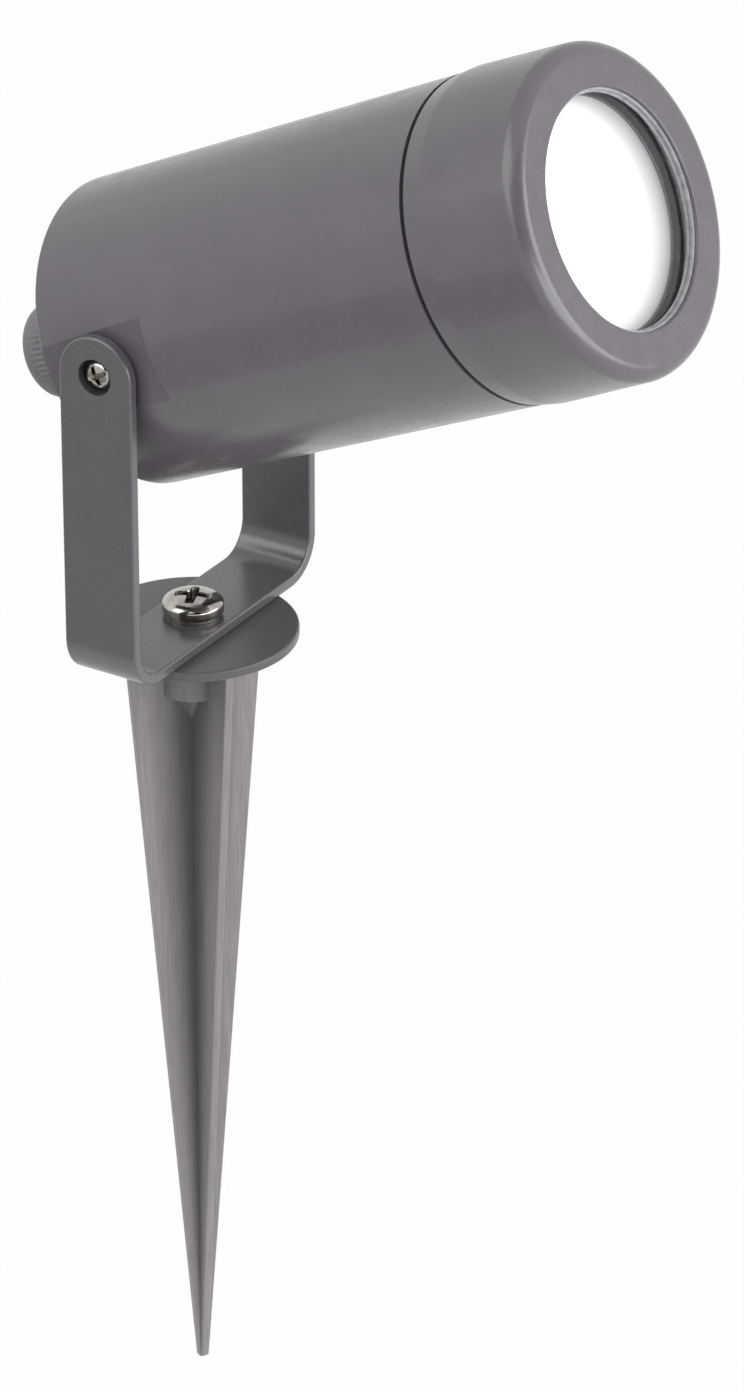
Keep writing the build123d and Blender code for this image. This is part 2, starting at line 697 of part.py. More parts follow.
# ================================================================ terminal block and leads
terminal_front = cavity_floor + terminal_height
entry_along = cavity_floor + terminal_height / 2
with BuildPart() as terminal_block:
    with BuildSketch(across(cavity_floor, terminal_turn)):
        with Locations((0, terminal_offset)):
            Rectangle(terminal_width, terminal_depth, align=(Align.CENTER, Align.MIN))
    extrude(amount=terminal_height)
    with BuildSketch(across(terminal_front, terminal_turn)):
        with Locations((0, terminal_offset + terminal_depth / 2)):
            with GridLocations(terminal_pitch, 0, 3, 1):
                Circle(terminal_screw_radius + loose_clearance)
    extrude(amount=-terminal_well, mode=Mode.SUBTRACT)
save(terminal_block.part, "terminal_block")


def terminal_screw(sideways):
    """One slotted clamping screw of the terminal block."""
    floor = terminal_front - terminal_well
    up = terminal_offset + terminal_depth / 2
    with BuildPart() as screw:
        with BuildSketch(across(floor, terminal_turn)):
            with Locations((sideways, up)):
                Circle(terminal_screw_radius)
        extrude(amount=terminal_screw_height)
        with BuildSketch(across(floor + terminal_screw_height, terminal_turn)):
            with Locations((sideways, up)):
                Rectangle(terminal_screw_radius * 3, terminal_slot_width)
        extrude(amount=-terminal_slot_depth, mode=Mode.SUBTRACT)
    return screw.part


terminal_screws = Compound(children=[terminal_screw(step * terminal_pitch) for step in (-1, 0, 1)])
save(terminal_screws, "terminal_screws")


def lamp_lead(side):
    """One sleeved lead, from a contact's tail back to the terminal block."""
    start = holder_rear - contact_tail_stand
    away = -side * terminal_pitch
    low = pin_circle * side
    route = [on_head(0, low, start), on_head(0, low, start - lead_run),
             on_block(away, low, entry_along + lead_rise),
             on_block(away, low / 2, entry_along), on_block(away, terminal_offset, entry_along)]
    with BuildPart() as lead:
        with BuildLine():
            FilletPolyline(*route, radius=lead_bend)
        with BuildSketch(across(start)):
            with Locations((0, low)):
                Circle(lead_radius)
        sweep()
    return lead.part


lamp_leads = Compound(children=[lamp_lead(side) for side in (-1, 1)])
save(lamp_leads, "lamp_leads")
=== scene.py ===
"""Garden spike spotlight: the finished surfaces, finishes and studio round the packed frame.

The file is laid out as an add-on and run as a script. Every length is in metres, in the frame's own axes:
+Z is up along the spike, and the head points along FORWARDS from the tilt axis at PIVOT.
"Along" is a distance along a piece's own axis, and "out" is a distance from that axis.
"""

import json
from collections import namedtuple
from math import atan2, cos, pi, radians, sin, tau

import bmesh
import bpy
import numpy as np
from bpy.props import FloatProperty, FloatVectorProperty, IntProperty, PointerProperty
from mathutils import Matrix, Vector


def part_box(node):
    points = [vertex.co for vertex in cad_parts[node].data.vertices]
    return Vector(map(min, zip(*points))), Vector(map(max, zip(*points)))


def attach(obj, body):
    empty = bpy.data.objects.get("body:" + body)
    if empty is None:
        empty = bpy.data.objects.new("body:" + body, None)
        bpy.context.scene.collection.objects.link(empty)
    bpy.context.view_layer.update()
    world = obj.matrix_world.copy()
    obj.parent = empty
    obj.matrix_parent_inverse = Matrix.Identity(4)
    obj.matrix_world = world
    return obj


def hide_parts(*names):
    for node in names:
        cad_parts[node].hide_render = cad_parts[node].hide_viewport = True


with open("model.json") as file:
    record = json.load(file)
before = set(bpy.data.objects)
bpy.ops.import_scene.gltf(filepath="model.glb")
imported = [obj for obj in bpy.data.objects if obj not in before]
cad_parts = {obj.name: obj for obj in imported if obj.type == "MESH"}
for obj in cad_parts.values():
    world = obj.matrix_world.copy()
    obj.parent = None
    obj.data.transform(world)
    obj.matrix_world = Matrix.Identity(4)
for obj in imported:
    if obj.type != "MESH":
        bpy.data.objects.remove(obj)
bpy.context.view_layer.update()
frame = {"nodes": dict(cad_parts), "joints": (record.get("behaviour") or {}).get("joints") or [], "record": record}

bl_info = {
    "name": "Garden spike spotlight",
    "version": (1, 0, 0),
    "blender": (4, 5, 0),
    "location": "View3D > Sidebar > Spotlight",
    "description": "Makes the surfaces, finishes and studio of a garden spike spotlight",
    "category": "Add Mesh",
}

MM = 0.001
DOUBLES = 0.001 * MM  # points nearer than this are merged

# ---------------------------------------------------------------- the frame's axes and sizes
Seat = namedtuple("Seat", "origin axis side")  # an axis with its start, and the direction of turn 0
Span = namedtuple("Span", "low high inner outer")  # along the axis, and out from it


def unit(vector):
    """A vector's direction: the vector divided by its own length."""
    return vector / np.linalg.norm(vector)


JOINTS = {joint["name"]: joint for joint in frame["joints"]}
PIVOT = np.array(JOINTS["head_tilt"]["pos_m"], float)
FORWARDS = unit(np.array(JOINTS["bezel_turn"]["axis"], float))
SIDEWAYS = np.array((1.0, 0.0, 0.0))
UPWARDS = np.cross(FORWARDS, SIDEWAYS)
VERTICAL = np.array((0.0, 0.0, 1.0))
HEAD = Seat(PIVOT, FORWARDS, SIDEWAYS)
SPIKE = Seat(np.zeros(3), VERTICAL, SIDEWAYS)
BEZEL_PITCH = tau * next(c["ratio"] for c in frame["record"]["behaviour"]["couplings"]
                         if c["follows"] == "bezel_turn")


def span_of(node, seat):
    """How far a CAD node reaches along a seat's axis and out from it, taken from all its points at once."""
    mesh = frame["nodes"][node].data
    points = np.empty(len(mesh.vertices) * 3)
    mesh.vertices.foreach_get("co", points)
    offset = points.reshape(-1, 3) - seat.origin
    along = offset @ seat.axis
    out = np.linalg.norm(offset - along[:, None] * seat.axis, axis=1)
    return Span(along.min(), along.max(), out.min(), out.max())


BEZEL = span_of("bezel", HEAD)
SEAL = span_of("bezel_seal", HEAD)
GLASS = span_of("front_glass", HEAD)
LENS = span_of("lamp_lens", HEAD)
SHELL = span_of("lamp_shell", HEAD)
NUT = span_of("gland_nut", HEAD)
BUSH = span_of("gland_seal", HEAD)
SPIKE_SPAN = span_of("ground_spike", SPIKE)
BASE_SCREW = span_of("base_screw", SPIKE)
M6, M3 = (3.0 * MM, 1.0 * MM), (1.5 * MM, 0.5 * MM)  # each screw's radius and thread pitch


def length(name, description, millimetres):
    """A length that a user can change, shown in the scene's units."""
    return FloatProperty(name=name, description=description, default=millimetres * MM, unit="LENGTH",
                         precision=5)


def number(name, description, default, kind="NONE"):
    """A number that a user can change: a plain one, or an ANGLE, a FACTOR or a POWER."""
    return FloatProperty(name=name, description=description, default=default, subtype=kind)


def colour(name, description, default):
    """A colour that a user can change."""
    return FloatVectorProperty(name=name, description=description, default=default, subtype="COLOR",
                               min=0.0, max=1.0)


# ---------------------------------------------------------------- what a user can change
class SpikeSizes(bpy.types.PropertyGroup):
    """Sizes of the ground spike."""

    rib_thick: length("Rib thickness", "Thickness of each of the four ribs", 1.6)
    rib_reach: length("Rib reach", "From the axis to a rib's edge, under the disc", 14.5)
    tip_reach: length("Tip reach", "From the axis to a rib's edge, at the tip", 1.0)
    rib_edge: length("Rib edge", "Radius of the ribs' long edges", 0.25)
    rib_turn: number("Rib turn", "How far the ribs are turned from the yoke", radians(61.6), "ANGLE")
    boss_radius: length("Boss radius", "Radius of the screw's boss between the ribs", 6.9)
    boss_depth: length("Boss depth", "Depth of the boss below the disc", 11.0)
    point_radius: length("Point radius", "Radius of the boss's pointed end at its top", 4.2)
    point_depth: length("Point depth", "Length of the boss's pointed end", 8.0)
    disc_thick: length("Disc thickness", "Thickness of the disc", SPIKE_SPAN.high / MM)
    disc_edge: length("Disc edge", "Radius of the disc's rims", 0.4)
    hole_radius: length("Hole radius", "Radius of the hole for the base screw", 3.05)


class BezelSizes(bpy.types.PropertyGroup):
    """Sizes of the bezel, the seal behind it and the glass in it."""

    rear_radius: length("Rear radius", "Radius where the bezel meets the housing", 30.0)
    front_radius: length("Front radius", "Radius just behind the front edge", 30.27)
    flare: length("Flare", "Length over which the rear end swells to the full radius", 4.0)
    front_edge: length("Front edge", "Radius of the outer front edge", 3.0)
    rear_edge: length("Rear edge", "Radius of the rear edge at the seam", 0.2)
    mouth_edge: length("Mouth edge", "Radius of the mouth's front edge", 0.4)
    bore_radius: length("Bore radius", "Radius of the bore that screws on the housing", 28.25)
    pocket_radius: length("Pocket radius", "Radius of the pocket that holds the glass", 27.4)
    thread_depth: length("Thread depth", "Depth of the bezel's thread", 0.7)
    glass_bevel: length("Glass bevel", "Width of the ground bevel round the glass", 0.4)
    lip_width: length("Lip width", "Width of the silicone lip on the glass", 0.62)
    lip_height: length("Lip height", "Height of the silicone lip on the glass", 1.35)


class GlandSizes(bpy.types.PropertyGroup):
    """Sizes of the cable gland's round nut and its rubber bush."""

    hole_radius: length("Hole radius", "Radius of the nut's hole for the cable", 4.6)
    bore_radius: length("Bore radius", "Radius of the nut's bore", 6.98)
    end_wall: length("End wall", "Thickness of the nut's end wall", 3.9)
    end_edge: length("End edge", "Radius of the nut's outer end edge", 1.7)
    band: length("Smooth band", "Length of the smooth band at the nut's end", 2.7)
    rib_depth: length("Rib depth", "Depth of the grooves between the nut's ribs", 0.30)
    ribs: IntProperty(name="Ribs", description="How many ribs stand round the nut", default=52, min=12)


class LampSizes(bpy.types.PropertyGroup):
    """Sizes of the lamp's body and lit front."""

    front_radius: length("Front radius", "Radius of the lit front's middle", 19.7)
    front_depth: length("Front depth", "Depth of the lit front's middle behind the lamp's front", 4.0)
    opening: length("Opening", "Radius of the opening in the lamp's rim", 21.2)
    rim_edge: length("Rim edge", "Radius of the rim's edges", 0.5)
    rim_height: length("Rim height", "Height of the rim", 3.0)
    waist_radius: length("Waist radius", "Radius of the body's waist", 14.0)
    waist_rise: length("Waist rise", "From the body's foot up to its waist", 14.0)
    neck_radius: length("Neck radius", "Radius of the body's foot", 11.5)


class ScrewSizes(bpy.types.PropertyGroup):
    """Sizes of the pan-head screws. The recesses' are shares of the head's radius."""

    recess_width: number("Recess width", "Width of a wing of the cross recess", 0.27, "FACTOR")
    base_reach: number("Base screw recess", "From the middle to a wing's end", 0.60, "FACTOR")
    side_reach: number("Side screw recess", "From the middle to a wing's end", 0.78, "FACTOR")
    recess_depth: number("Recess depth", "Depth of the recess in its middle", 0.36, "FACTOR")
    side_share: number("Side share", "Share of the head's height below its shoulder", 0.45, "FACTOR")
    washer_radius: length("Washer radius", "Radius of the base screw's spring washer", 5.2)
    washer_thick: length("Washer thickness", "Thickness of the base screw's spring washer", 0.95)
    base_height: length("Base screw head", "Height of the base screw's head", 3.4)
    side_height: length("Side screw head", "Height of a side screw's head", 2.5)
    base_turn: number("Base screw turn", "How the base screw's cross stands", radians(20), "ANGLE")
    side_turn: number("Side screw turn", "How the side screws' crosses stand", radians(28), "ANGLE")


class FinishColours(bpy.types.PropertyGroup):
    """Colours of the finishes."""

    coat: colour("Powder coat", "Grey coat of the housing and bezel", (0.114, 0.103, 0.118))
    yoke: colour("Yoke plastic", "Grey moulded plastic of the yoke", (0.093, 0.085, 0.096))
    spike: colour("Spike plastic", "Grey moulded plastic of the spike", (0.235, 0.220, 0.227))
    gland: colour("Gland plastic", "Grey moulded plastic of the cable gland", (0.168, 0.157, 0.171))
    nickel: colour("Nickel", "Nickel plate of the screws", (0.460, 0.444, 0.410))
    rubber: colour("Rubber", "Black rubber of the seals", (0.020, 0.020, 0.021))
    light: colour("Light", "Colour of the lit lamp", (1.0, 1.0, 1.0))


class StudioSettings(bpy.types.PropertyGroup):
    """The camera, the lights and the floor."""

    camera_place: FloatVectorProperty(name="Camera place", description="Where the camera stands",
                                      default=(-0.861208, -0.569293, 0.532562), subtype="TRANSLATION")
    azimuth: number("Azimuth", "Camera's turn about the vertical", radians(-58.945), "ANGLE")
    elevation: number("Elevation", "Camera's height above the horizon", radians(27.490), "ANGLE")
    roll: number("Roll", "Camera's roll", radians(0.355), "ANGLE")
    focal_pixels: number("Focal length", "Focal length in picture pixels", 6174.4)
    centre_x: number("Centre across", "Pixel column that the lens looks at", 424.26)
    centre_y: number("Centre down", "Pixel row that the lens looks at", 654.39)
    floor_drop: length("Floor drop", "From the spike's tip down to the floor", 0.5)
    floor_white: number("Floor white", "Share of plain white in the floor as seen", 0.97, "FACTOR")
    world_light: number("World light", "Even light from all round", 0.40)
    back_power: number("Back light", "Power of the wide soft light behind", 3.5, "POWER")
    front_power: number("Front light", "Power of the soft light in front", 16.0, "POWER")
    fill_power: number("Fill light", "Power of the soft light on the left", 9.0, "POWER")
    front_flag_tone: number("Front flag", "How bright the flag before the head is", 0.0)
    low_flag_tone: number("Low flag", "How bright the flag beside the head's lower side is", 0.50)


PICTURE_WIDTH, PICTURE_HEIGHT = 744, 1392
SENSOR = 36.0                # the camera's sensor, in millimetres
NEAREST, FARTHEST = 0.05, 20.0   # what the camera sees
WHITE = (1, 1, 1, 1)
FLOOR_COLOUR = (0.80, 0.80, 0.80, 1)
FLOOR_HALF = 3.0             # from the floor's middle to its edge
BOARD_CORNERS = np.array([(-1, -1), (1, -1), (1, 1), (-1, 1)])

Board = namedtuple("Board", "name spot width height")  # a rectangle that faces the tilt axis
BACK_SOFTBOX = Board("Back softbox", (-0.45, 2.30, 1.20), 3.4, 2.0)
FRONT_SOFTBOX = Board("Front softbox", (0.15, -1.25, 0.27), 1.8, 0.8)
FILL_SOFTBOX = Board("Fill softbox", (-0.75, 0.25, 0.95), 1.4, 1.0)
FRONT_FLAG = Board("Front flag", (-0.31, -0.47, 0.49), 1.10, 0.50)
LOW_FLAG = Board("Low flag", (-0.255, 0.09, -0.077), 0.50, 0.16)


# ---------------------------------------------------------------- surfaces
def place(seat, along, out, turn):
    """Points round a seat's axis.

    Each is origin + along * axis + out * (cos turn * side + sin turn * other side).
    """
    along, out, turn = np.broadcast_arrays(along, out, turn)
    other = np.cross(seat.axis, seat.side)
    direction = np.cos(turn)[..., None] * seat.side + np.sin(turn)[..., None] * other
    return seat.origin + along[..., None] * seat.axis + out[..., None] * direction


def rounded(corners, steps=8):
    """A closed profile of (along, out) points from corners given as (along, out, radius).

    Each arc is centre + (sin((1-t)w) a + sin(tw) b) / sin w for t from 0 to 1, where a and b run from the
    arc's centre to its two ends and w is the angle between them.
    """
    corners = np.array(corners, float)
    spots, radii = corners[:, :2], corners[:, 2]
    share = np.linspace(0, 1, steps + 1)[:, None]
    runs = []
    for before, spot, after, radius in zip(np.roll(spots, 1, 0), spots, np.roll(spots, -1, 0), radii):
        if radius == 0:
            runs.append(spot[None])
            continue
        back, ahead = unit(before - spot), unit(after - spot)
        half = np.arccos(np.clip(back @ ahead, -1, 1)) / 2
        centre = spot + unit(back + ahead) * radius / np.sin(half)
        first = spot + back * radius / np.tan(half) - centre
        last = spot + ahead * radius / np.tan(half) - centre
        sweep = pi - 2 * half
        arc = (np.sin((1 - share) * sweep) * first + np.sin(share * sweep) * last) / np.sin(sweep)
        runs.append(centre + arc)
    return np.concatenate(runs)


def turns(count):
    """Even angles round an axis, as one row of a grid."""
    return (np.arange(count) * tau / count)[None]


def turned(seat, profile, turn=turns(256)):
    """A profile of (along, out) points turned round a seat's axis: one row of the grid for each point."""
    return place(seat, profile[:, :1], profile[:, 1:], turn)


def quads(rows, columns, closed):
    """The faces of a grid whose rows run round an axis. Where closed, its last row meets its first."""
    index = np.arange(rows * columns).reshape(rows, columns)
    index = np.concatenate([index, index[:, :1]], 1)
    if closed:
        index = np.concatenate([index, index[:1]], 0)
    corners = (index[:-1, :-1], index[1:, :-1], index[1:, 1:], index[:-1, 1:])
    return np.stack(corners, -1).reshape(-1, 4)


def make_piece(name, grids, body, material, nodes=(), closed=True, crease=radians(34), hollow=None):
    """Make one piece from grids of points, whose last rows meet their first rows where closed.

    The grids' doubles are merged, the faces are turned outwards, and the edges sharper than the crease
    angle are kept sharp. The piece then rides on its body and stands for its CAD nodes. A value may be
    given for each point, of painted shade and painted dark reflection; it is kept for the material as a
    point attribute.
    """
    points, faces, count = [], [], 0
    for grid in grids:
        rows, columns = grid.shape[:2]
        points.append(grid.reshape(-1, 3))
        faces.append(quads(rows, columns, closed) + count)
        count += rows * columns
    points, faces = np.concatenate(points), np.concatenate(faces)
    mesh = bpy.data.meshes.new(name)
    mesh.vertices.add(len(points))
    mesh.vertices.foreach_set("co", points.ravel())
    mesh.loops.add(faces.size)
    mesh.loops.foreach_set("vertex_index", faces.ravel())
    mesh.polygons.add(len(faces))
    mesh.polygons.foreach_set("loop_start", np.arange(0, faces.size, 4))
    mesh.update(calc_edges=True)
    if hollow is not None:
        mesh.attributes.new("hollow", "FLOAT", "POINT").data.foreach_set("value", hollow.ravel())
    shell = bmesh.new()
    shell.from_mesh(mesh)
    bmesh.ops.remove_doubles(shell, verts=shell.verts, dist=DOUBLES)
    bmesh.ops.recalc_face_normals(shell, faces=shell.faces)
    shell.to_mesh(mesh)
    shell.free()
    mesh.polygons.foreach_set("use_smooth", np.ones(len(mesh.polygons), bool))
    mesh.set_sharp_from_angle(angle=crease)
    mesh.materials.append(material)
    piece = bpy.data.objects.new(name, mesh)
    bpy.context.scene.collection.objects.link(piece)
    piece.modifiers.new("Even shading", "WEIGHTED_NORMAL").keep_sharp = True
    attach(piece, body)
    if nodes:
        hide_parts(*nodes)
    return piece


def thread_wave(along, turn, pitch):
    """A right-hand thread's form: 0 at the root and 1 at the crest, with flanks and narrow flats.

    The wave is a triangle in along / pitch - turn / tau, made taller, lowered and cut off at both ends.
    """
    taller, lowered = 1.7, 0.35
    phase = (along / pitch - turn / tau) % 1.0
    return np.clip(taller * (1 - np.abs(2 * phase - 1)) - lowered, 0, 1)


# ---------------------------------------------------------------- finishes
COLOUR_INPUTS, COLOUR_OUTPUT = (6, 7), 2  # where a Mix node takes and gives its colours


def blank_tree(owner):
    """Give a material or a world an empty node tree."""
    owner.use_nodes = True
    owner.node_tree.nodes.clear()
    return owner.node_tree


def set_inputs(node, inputs):
    """Give each input of a node a value, or a link where the value is another node's output."""
    for key, value in inputs.items():
        if isinstance(value, bpy.types.NodeSocket):
            node.id_data.links.new(value, node.inputs[key])
        else:
            node.inputs[key].default_value = value


def add_node(near, kind, inputs=None, **settings):
    """Add a shader node, with its settings and inputs, to a tree or to the tree that near is in."""
    made = near.id_data.nodes.new(kind)
    for key, value in settings.items():
        setattr(made, key, value)
    set_inputs(made, inputs or {})
    return made


def maths(operation, first, second):
    """What a Math node gives for a node's output and another amount."""
    return add_node(first, "ShaderNodeMath", {0: first, 1: second}, operation=operation).outputs[0]


def vector_length(vector):
    """How long a vector is."""
    return add_node(vector, "ShaderNodeVectorMath", {0: vector}, operation="LENGTH").outputs["Value"]


def object_place(near, scale=(1, 1, 1), rotation=(0, 0, 0), location=(0, 0, 0)):
    """Object coordinates, stretched, turned and moved."""
    point = add_node(near, "ShaderNodeTexCoord").outputs["Object"]
    inputs = {"Vector": point, "Scale": scale, "Rotation": rotation, "Location": location}
    return add_node(near, "ShaderNodeMapping", inputs).outputs["Vector"]


def noise(where, grain_size, detail=4.0, roughness=0.55):
    """A noise whose grains are about grain_size metres across."""
    inputs = {"Vector": where, "Scale": 1 / grain_size, "Detail": detail, "Roughness": roughness}
    return add_node(where, "ShaderNodeTexNoise", inputs).outputs["Fac"]


def between(amount, low, high, source=(0.3, 0.7)):
    """Spread an amount from a noise's usual range, or another source range, to the range low to high."""
    inputs = {"Value": amount, "From Min": source[0], "From Max": source[1], "To Min": low, "To Max": high}
    return add_node(amount, "ShaderNodeMapRange", inputs).outputs["Result"]


def mixed(amount, first, second):
    """Mix two colours by an amount. Each is a node's output, or red, green and blue."""
    made = add_node(amount, "ShaderNodeMix", {"Factor": amount}, data_type="RGBA")
    for key, value in zip(COLOUR_INPUTS, (first, second)):
        linked = isinstance(value, bpy.types.NodeSocket)
        set_inputs(made, {key: value if linked else (*value[:3], 1.0)})
    return made.outputs[COLOUR_OUTPUT]


def shade(base, factor):
    """A colour made darker or lighter by a factor."""
    return tuple(min(1.0, channel * factor) for channel in base[:3])


def new_finish(name, values):
    """Start a material with a Principled shader whose even values are set on its own sockets."""
    material = bpy.data.materials.new(name)
    shader = add_node(blank_tree(material), "ShaderNodeBsdfPrincipled", values)
    add_node(shader, "ShaderNodeOutputMaterial", {"Surface": shader.outputs["BSDF"]})
    return material, shader


def set_surface(shader, body, gloss, bumps):
    """Give a shader its colour, its roughness and bumps, each (height, strength, depth in metres)."""
    set_inputs(shader, {"Base Color": body, "Roughness": gloss})
    normal = None
    for height, strength, depth in bumps:
        inputs = {"Height": height, "Strength": strength, "Distance": depth}
        if normal is not None:
            inputs["Normal"] = normal
        normal = add_node(shader, "ShaderNodeBump", inputs).outputs["Normal"]
    set_inputs(shader, {"Normal": normal})


def powder_coat(name, base):
    """Satin powder coat: orange-peel grain, faint cloudiness, a few dust specks and a smeared gloss."""
    material, shader = new_finish(name, {"Specular IOR Level": 0.60})
    where = object_place(shader)
    peel = noise(where, 0.55 * MM, 3.0)
    cloud = noise(where, 14 * MM, 3.0)
    fine = noise(where, 0.16 * MM, 2.0)
    specks = noise(where, 0.6 * MM, 1.0)
    smear = noise(object_place(shader, scale=(1, 0.6, 1)), 5 * MM, 5.0, 0.65)
    body = mixed(between(cloud, 0, 1), shade(base, 0.95), shade(base, 1.05))
    body = mixed(between(fine, 0, 0.12), body, shade(base, 1.15))
    # Only the noise's rare peaks are specks.
    body = mixed(between(specks, 0, 0.20, source=(0.80, 0.83)), body, shade(base, 2.6))
    gloss = maths("ADD", between(peel, 0.0, 0.05), between(smear, 0.15, 0.28))
    set_surface(shader, body, gloss, [(peel, 0.08, 0.02 * MM), (fine, 0.05, 0.008 * MM)])
    return material


def moulded_plastic(name, base, roughness=0.42, gloss=0.5, wear_and_shade=None):
    """Moulded plastic with a spark-eroded grain, and the wear and painted shade that a function adds to it."""
    material, shader = new_finish(name, {"Specular IOR Level": gloss})
    where = object_place(shader)
    grain = noise(where, 0.35 * MM)
    cloud = noise(where, 9 * MM, 3.0)
    body = mixed(between(cloud, 0, 1), shade(base, 0.94), shade(base, 1.06))
    body = mixed(between(grain, 0, 0.1), body, shade(base, 1.25))
    bumps = [(grain, 0.06, 0.015 * MM)]
    if wear_and_shade is not None:
        body, worn = wear_and_shade(where, base, body)
        bumps += worn
    set_surface(shader, body, between(grain, roughness - 0.05, roughness + 0.07), bumps)
    return material


def spike_streaks_and_shade(where, base, body):
    """Streaks drawn along the spike, with painted shade between its ribs and on its disc."""
    drawn = object_place(where, scale=(1.0, 1.0, 0.05))
    streaks = noise(drawn, 0.55 * MM, 3.0, 0.6)
    broad = noise(drawn, 2.6 * MM, 2.0)
    body = mixed(between(streaks, 0, 0.85, source=(0.35, 0.75)), body, shade(base, 1.40))
    body = mixed(between(broad, 0, 0.5), body, shade(base, 0.76))
    # Painted shade between the ribs goes by the share of the way out to the rib's edge at the same height.
    sizes = bpy.context.scene.spotlight_spike
    height = add_node(where, "ShaderNodeSeparateXYZ", {0: where}).outputs["Z"]
    reach = between(height, sizes.tip_reach, sizes.rib_reach, source=(SPIKE_SPAN.low, 0.0))
    share = maths("DIVIDE", vector_length(object_place(where, scale=(1, 1, 0))), reach)
    body = mixed(between(share, 0.62, 0.0, source=(0.22, 0.72)), body, shade(base, 0.30))
    # Painted shade from the head above: all above the spike's top level, the disc, is darker.
    body = mixed(between(height, 0, 1, source=(-0.1 * MM, 0.0)), body, shade(base, 0.43))
    return body, [(streaks, 0.75, 0.04 * MM)]


def ear_sink_shade(where, base, body):
    """Painted shade in the sinks round the screws in the yoke's ears, nearly black inside the sink's radius."""
    sink, blur, sink_shade_colour = 3.35 * MM, 0.2 * MM, (0.016, 0.012, 0.010)
    out = vector_length(object_place(where, scale=(0, 1, 1), location=(0, 0, -PIVOT[2])))
    return mixed(between(out, 0.92, 0, source=(sink, sink + blur)), body, sink_shade_colour), []


def plated_metal(name, base, roughness=0.10):
    """Bright plate with fine turning marks, slight stains, and painted shade and dark reflection from its piece.
    """
    material, shader = new_finish(name, {"Metallic": 1.0})
    where = object_place(shader)
    marks = noise(where, 0.22 * MM, 5.0, 0.7)
    stain = noise(where, 2.2 * MM, 3.0)
    body = mixed(between(stain, 0, 0.5, source=(0.4, 0.6)), base, shade(base, 0.48))
    hollow = add_node(shader, "ShaderNodeAttribute", attribute_name="hollow").outputs["Fac"]
    # Painted shade and painted dark reflection: each point's share, from the piece's attribute, turns the plate
    # dark brown.
    body = mixed(between(hollow, 0, 0.88, source=(0.05, 0.6)), body, (0.20, 0.170, 0.135))
    set_surface(shader, body, between(marks, roughness - 0.04, roughness + 0.08),
                [(marks, 0.25, 0.01 * MM)])
    return material


def soft_rubber(name, base, roughness=0.7):
    """Matt rubber with a fine bloom."""
    material, shader = new_finish(name, {"Specular IOR Level": 0.3})
    where = object_place(shader)
    bloom = noise(where, 1.4 * MM)
    grain = noise(where, 0.2 * MM, 2.0)
    body = mixed(between(bloom, 0, 0.6), base, shade(base, 2.2))
    set_surface(shader, body, between(grain, roughness - 0.1, roughness + 0.1), [(grain, 0.4, 0.02 * MM)])
    return material


def clear_glass(name):
    """Clear toughened glass with faint smears that only change its gloss."""
    material, shader = new_finish(name, {
        "Base Color": (0.985, 0.985, 0.99, 1.0), "Transmission Weight": 1.0, "IOR": 1.5})
    smears = noise(object_place(shader, scale=(1, 1, 3)), 8 * MM, 2.0)
    set_inputs(shader, {"Roughness": between(smears, 0.0, 0.03, source=(0.5, 0.8))})
    return material


def head_distance(near):
    """Distance from the head's axis, from Object coordinates turned so that the axis becomes Z."""
    axes = np.array((SIDEWAYS, UPWARDS, FORWARDS))
    turn, shift = tuple(Matrix(axes).to_euler()), tuple(-(axes @ PIVOT))
    flatten = {0: object_place(near, rotation=turn, location=shift), 1: (1.0, 1.0, 0.0)}
    return vector_length(add_node(near, "ShaderNodeVectorMath", flatten, operation="MULTIPLY").outputs[0])


def lit_diffuser(name, light, middle, opening):
    """Opal lamp front: it glows evenly in the middle, and less and less up the wall round it."""
    glow_margin, dim, unlit = 0.9 * MM, (0.11, 0.10, 0.115), (0.25, 0.24, 0.25, 1.0)
    material, shader = new_finish(name, {"Emission Strength": 1.15})
    glow = between(head_distance(shader), 1.0, 0.0, source=(middle - glow_margin, opening))
    set_inputs(shader, {"Emission Color": mixed(glow, dim, light)})
    mottle = noise(object_place(shader), 1.5 * MM, 2.0)
    set_surface(shader, unlit, 0.3, [(mottle, 0.1, 0.02 * MM)])
    return material


def plain_moulding(name, base, roughness):
    """A small moulded or glazed part inside the head, with a faint grain and cloudiness."""
    material, shader = new_finish(name, {})
    where = object_place(shader)
    grain = noise(where, 0.4 * MM, 3.0)
    cloud = noise(where, 5 * MM, 2.0)
    body = mixed(between(cloud, 0, 1), shade(base, 0.93), base)
    set_surface(shader, body, between(grain, roughness - 0.06, roughness + 0.06), [(grain, 0.2, 0.01 * MM)])
    return material


def give_finish(material, *nodes):
    """Put a finish on CAD nodes in place of what they came with."""
    for node in nodes:
        mesh = frame["nodes"][node].data
        mesh.materials.clear()
        mesh.materials.append(material)


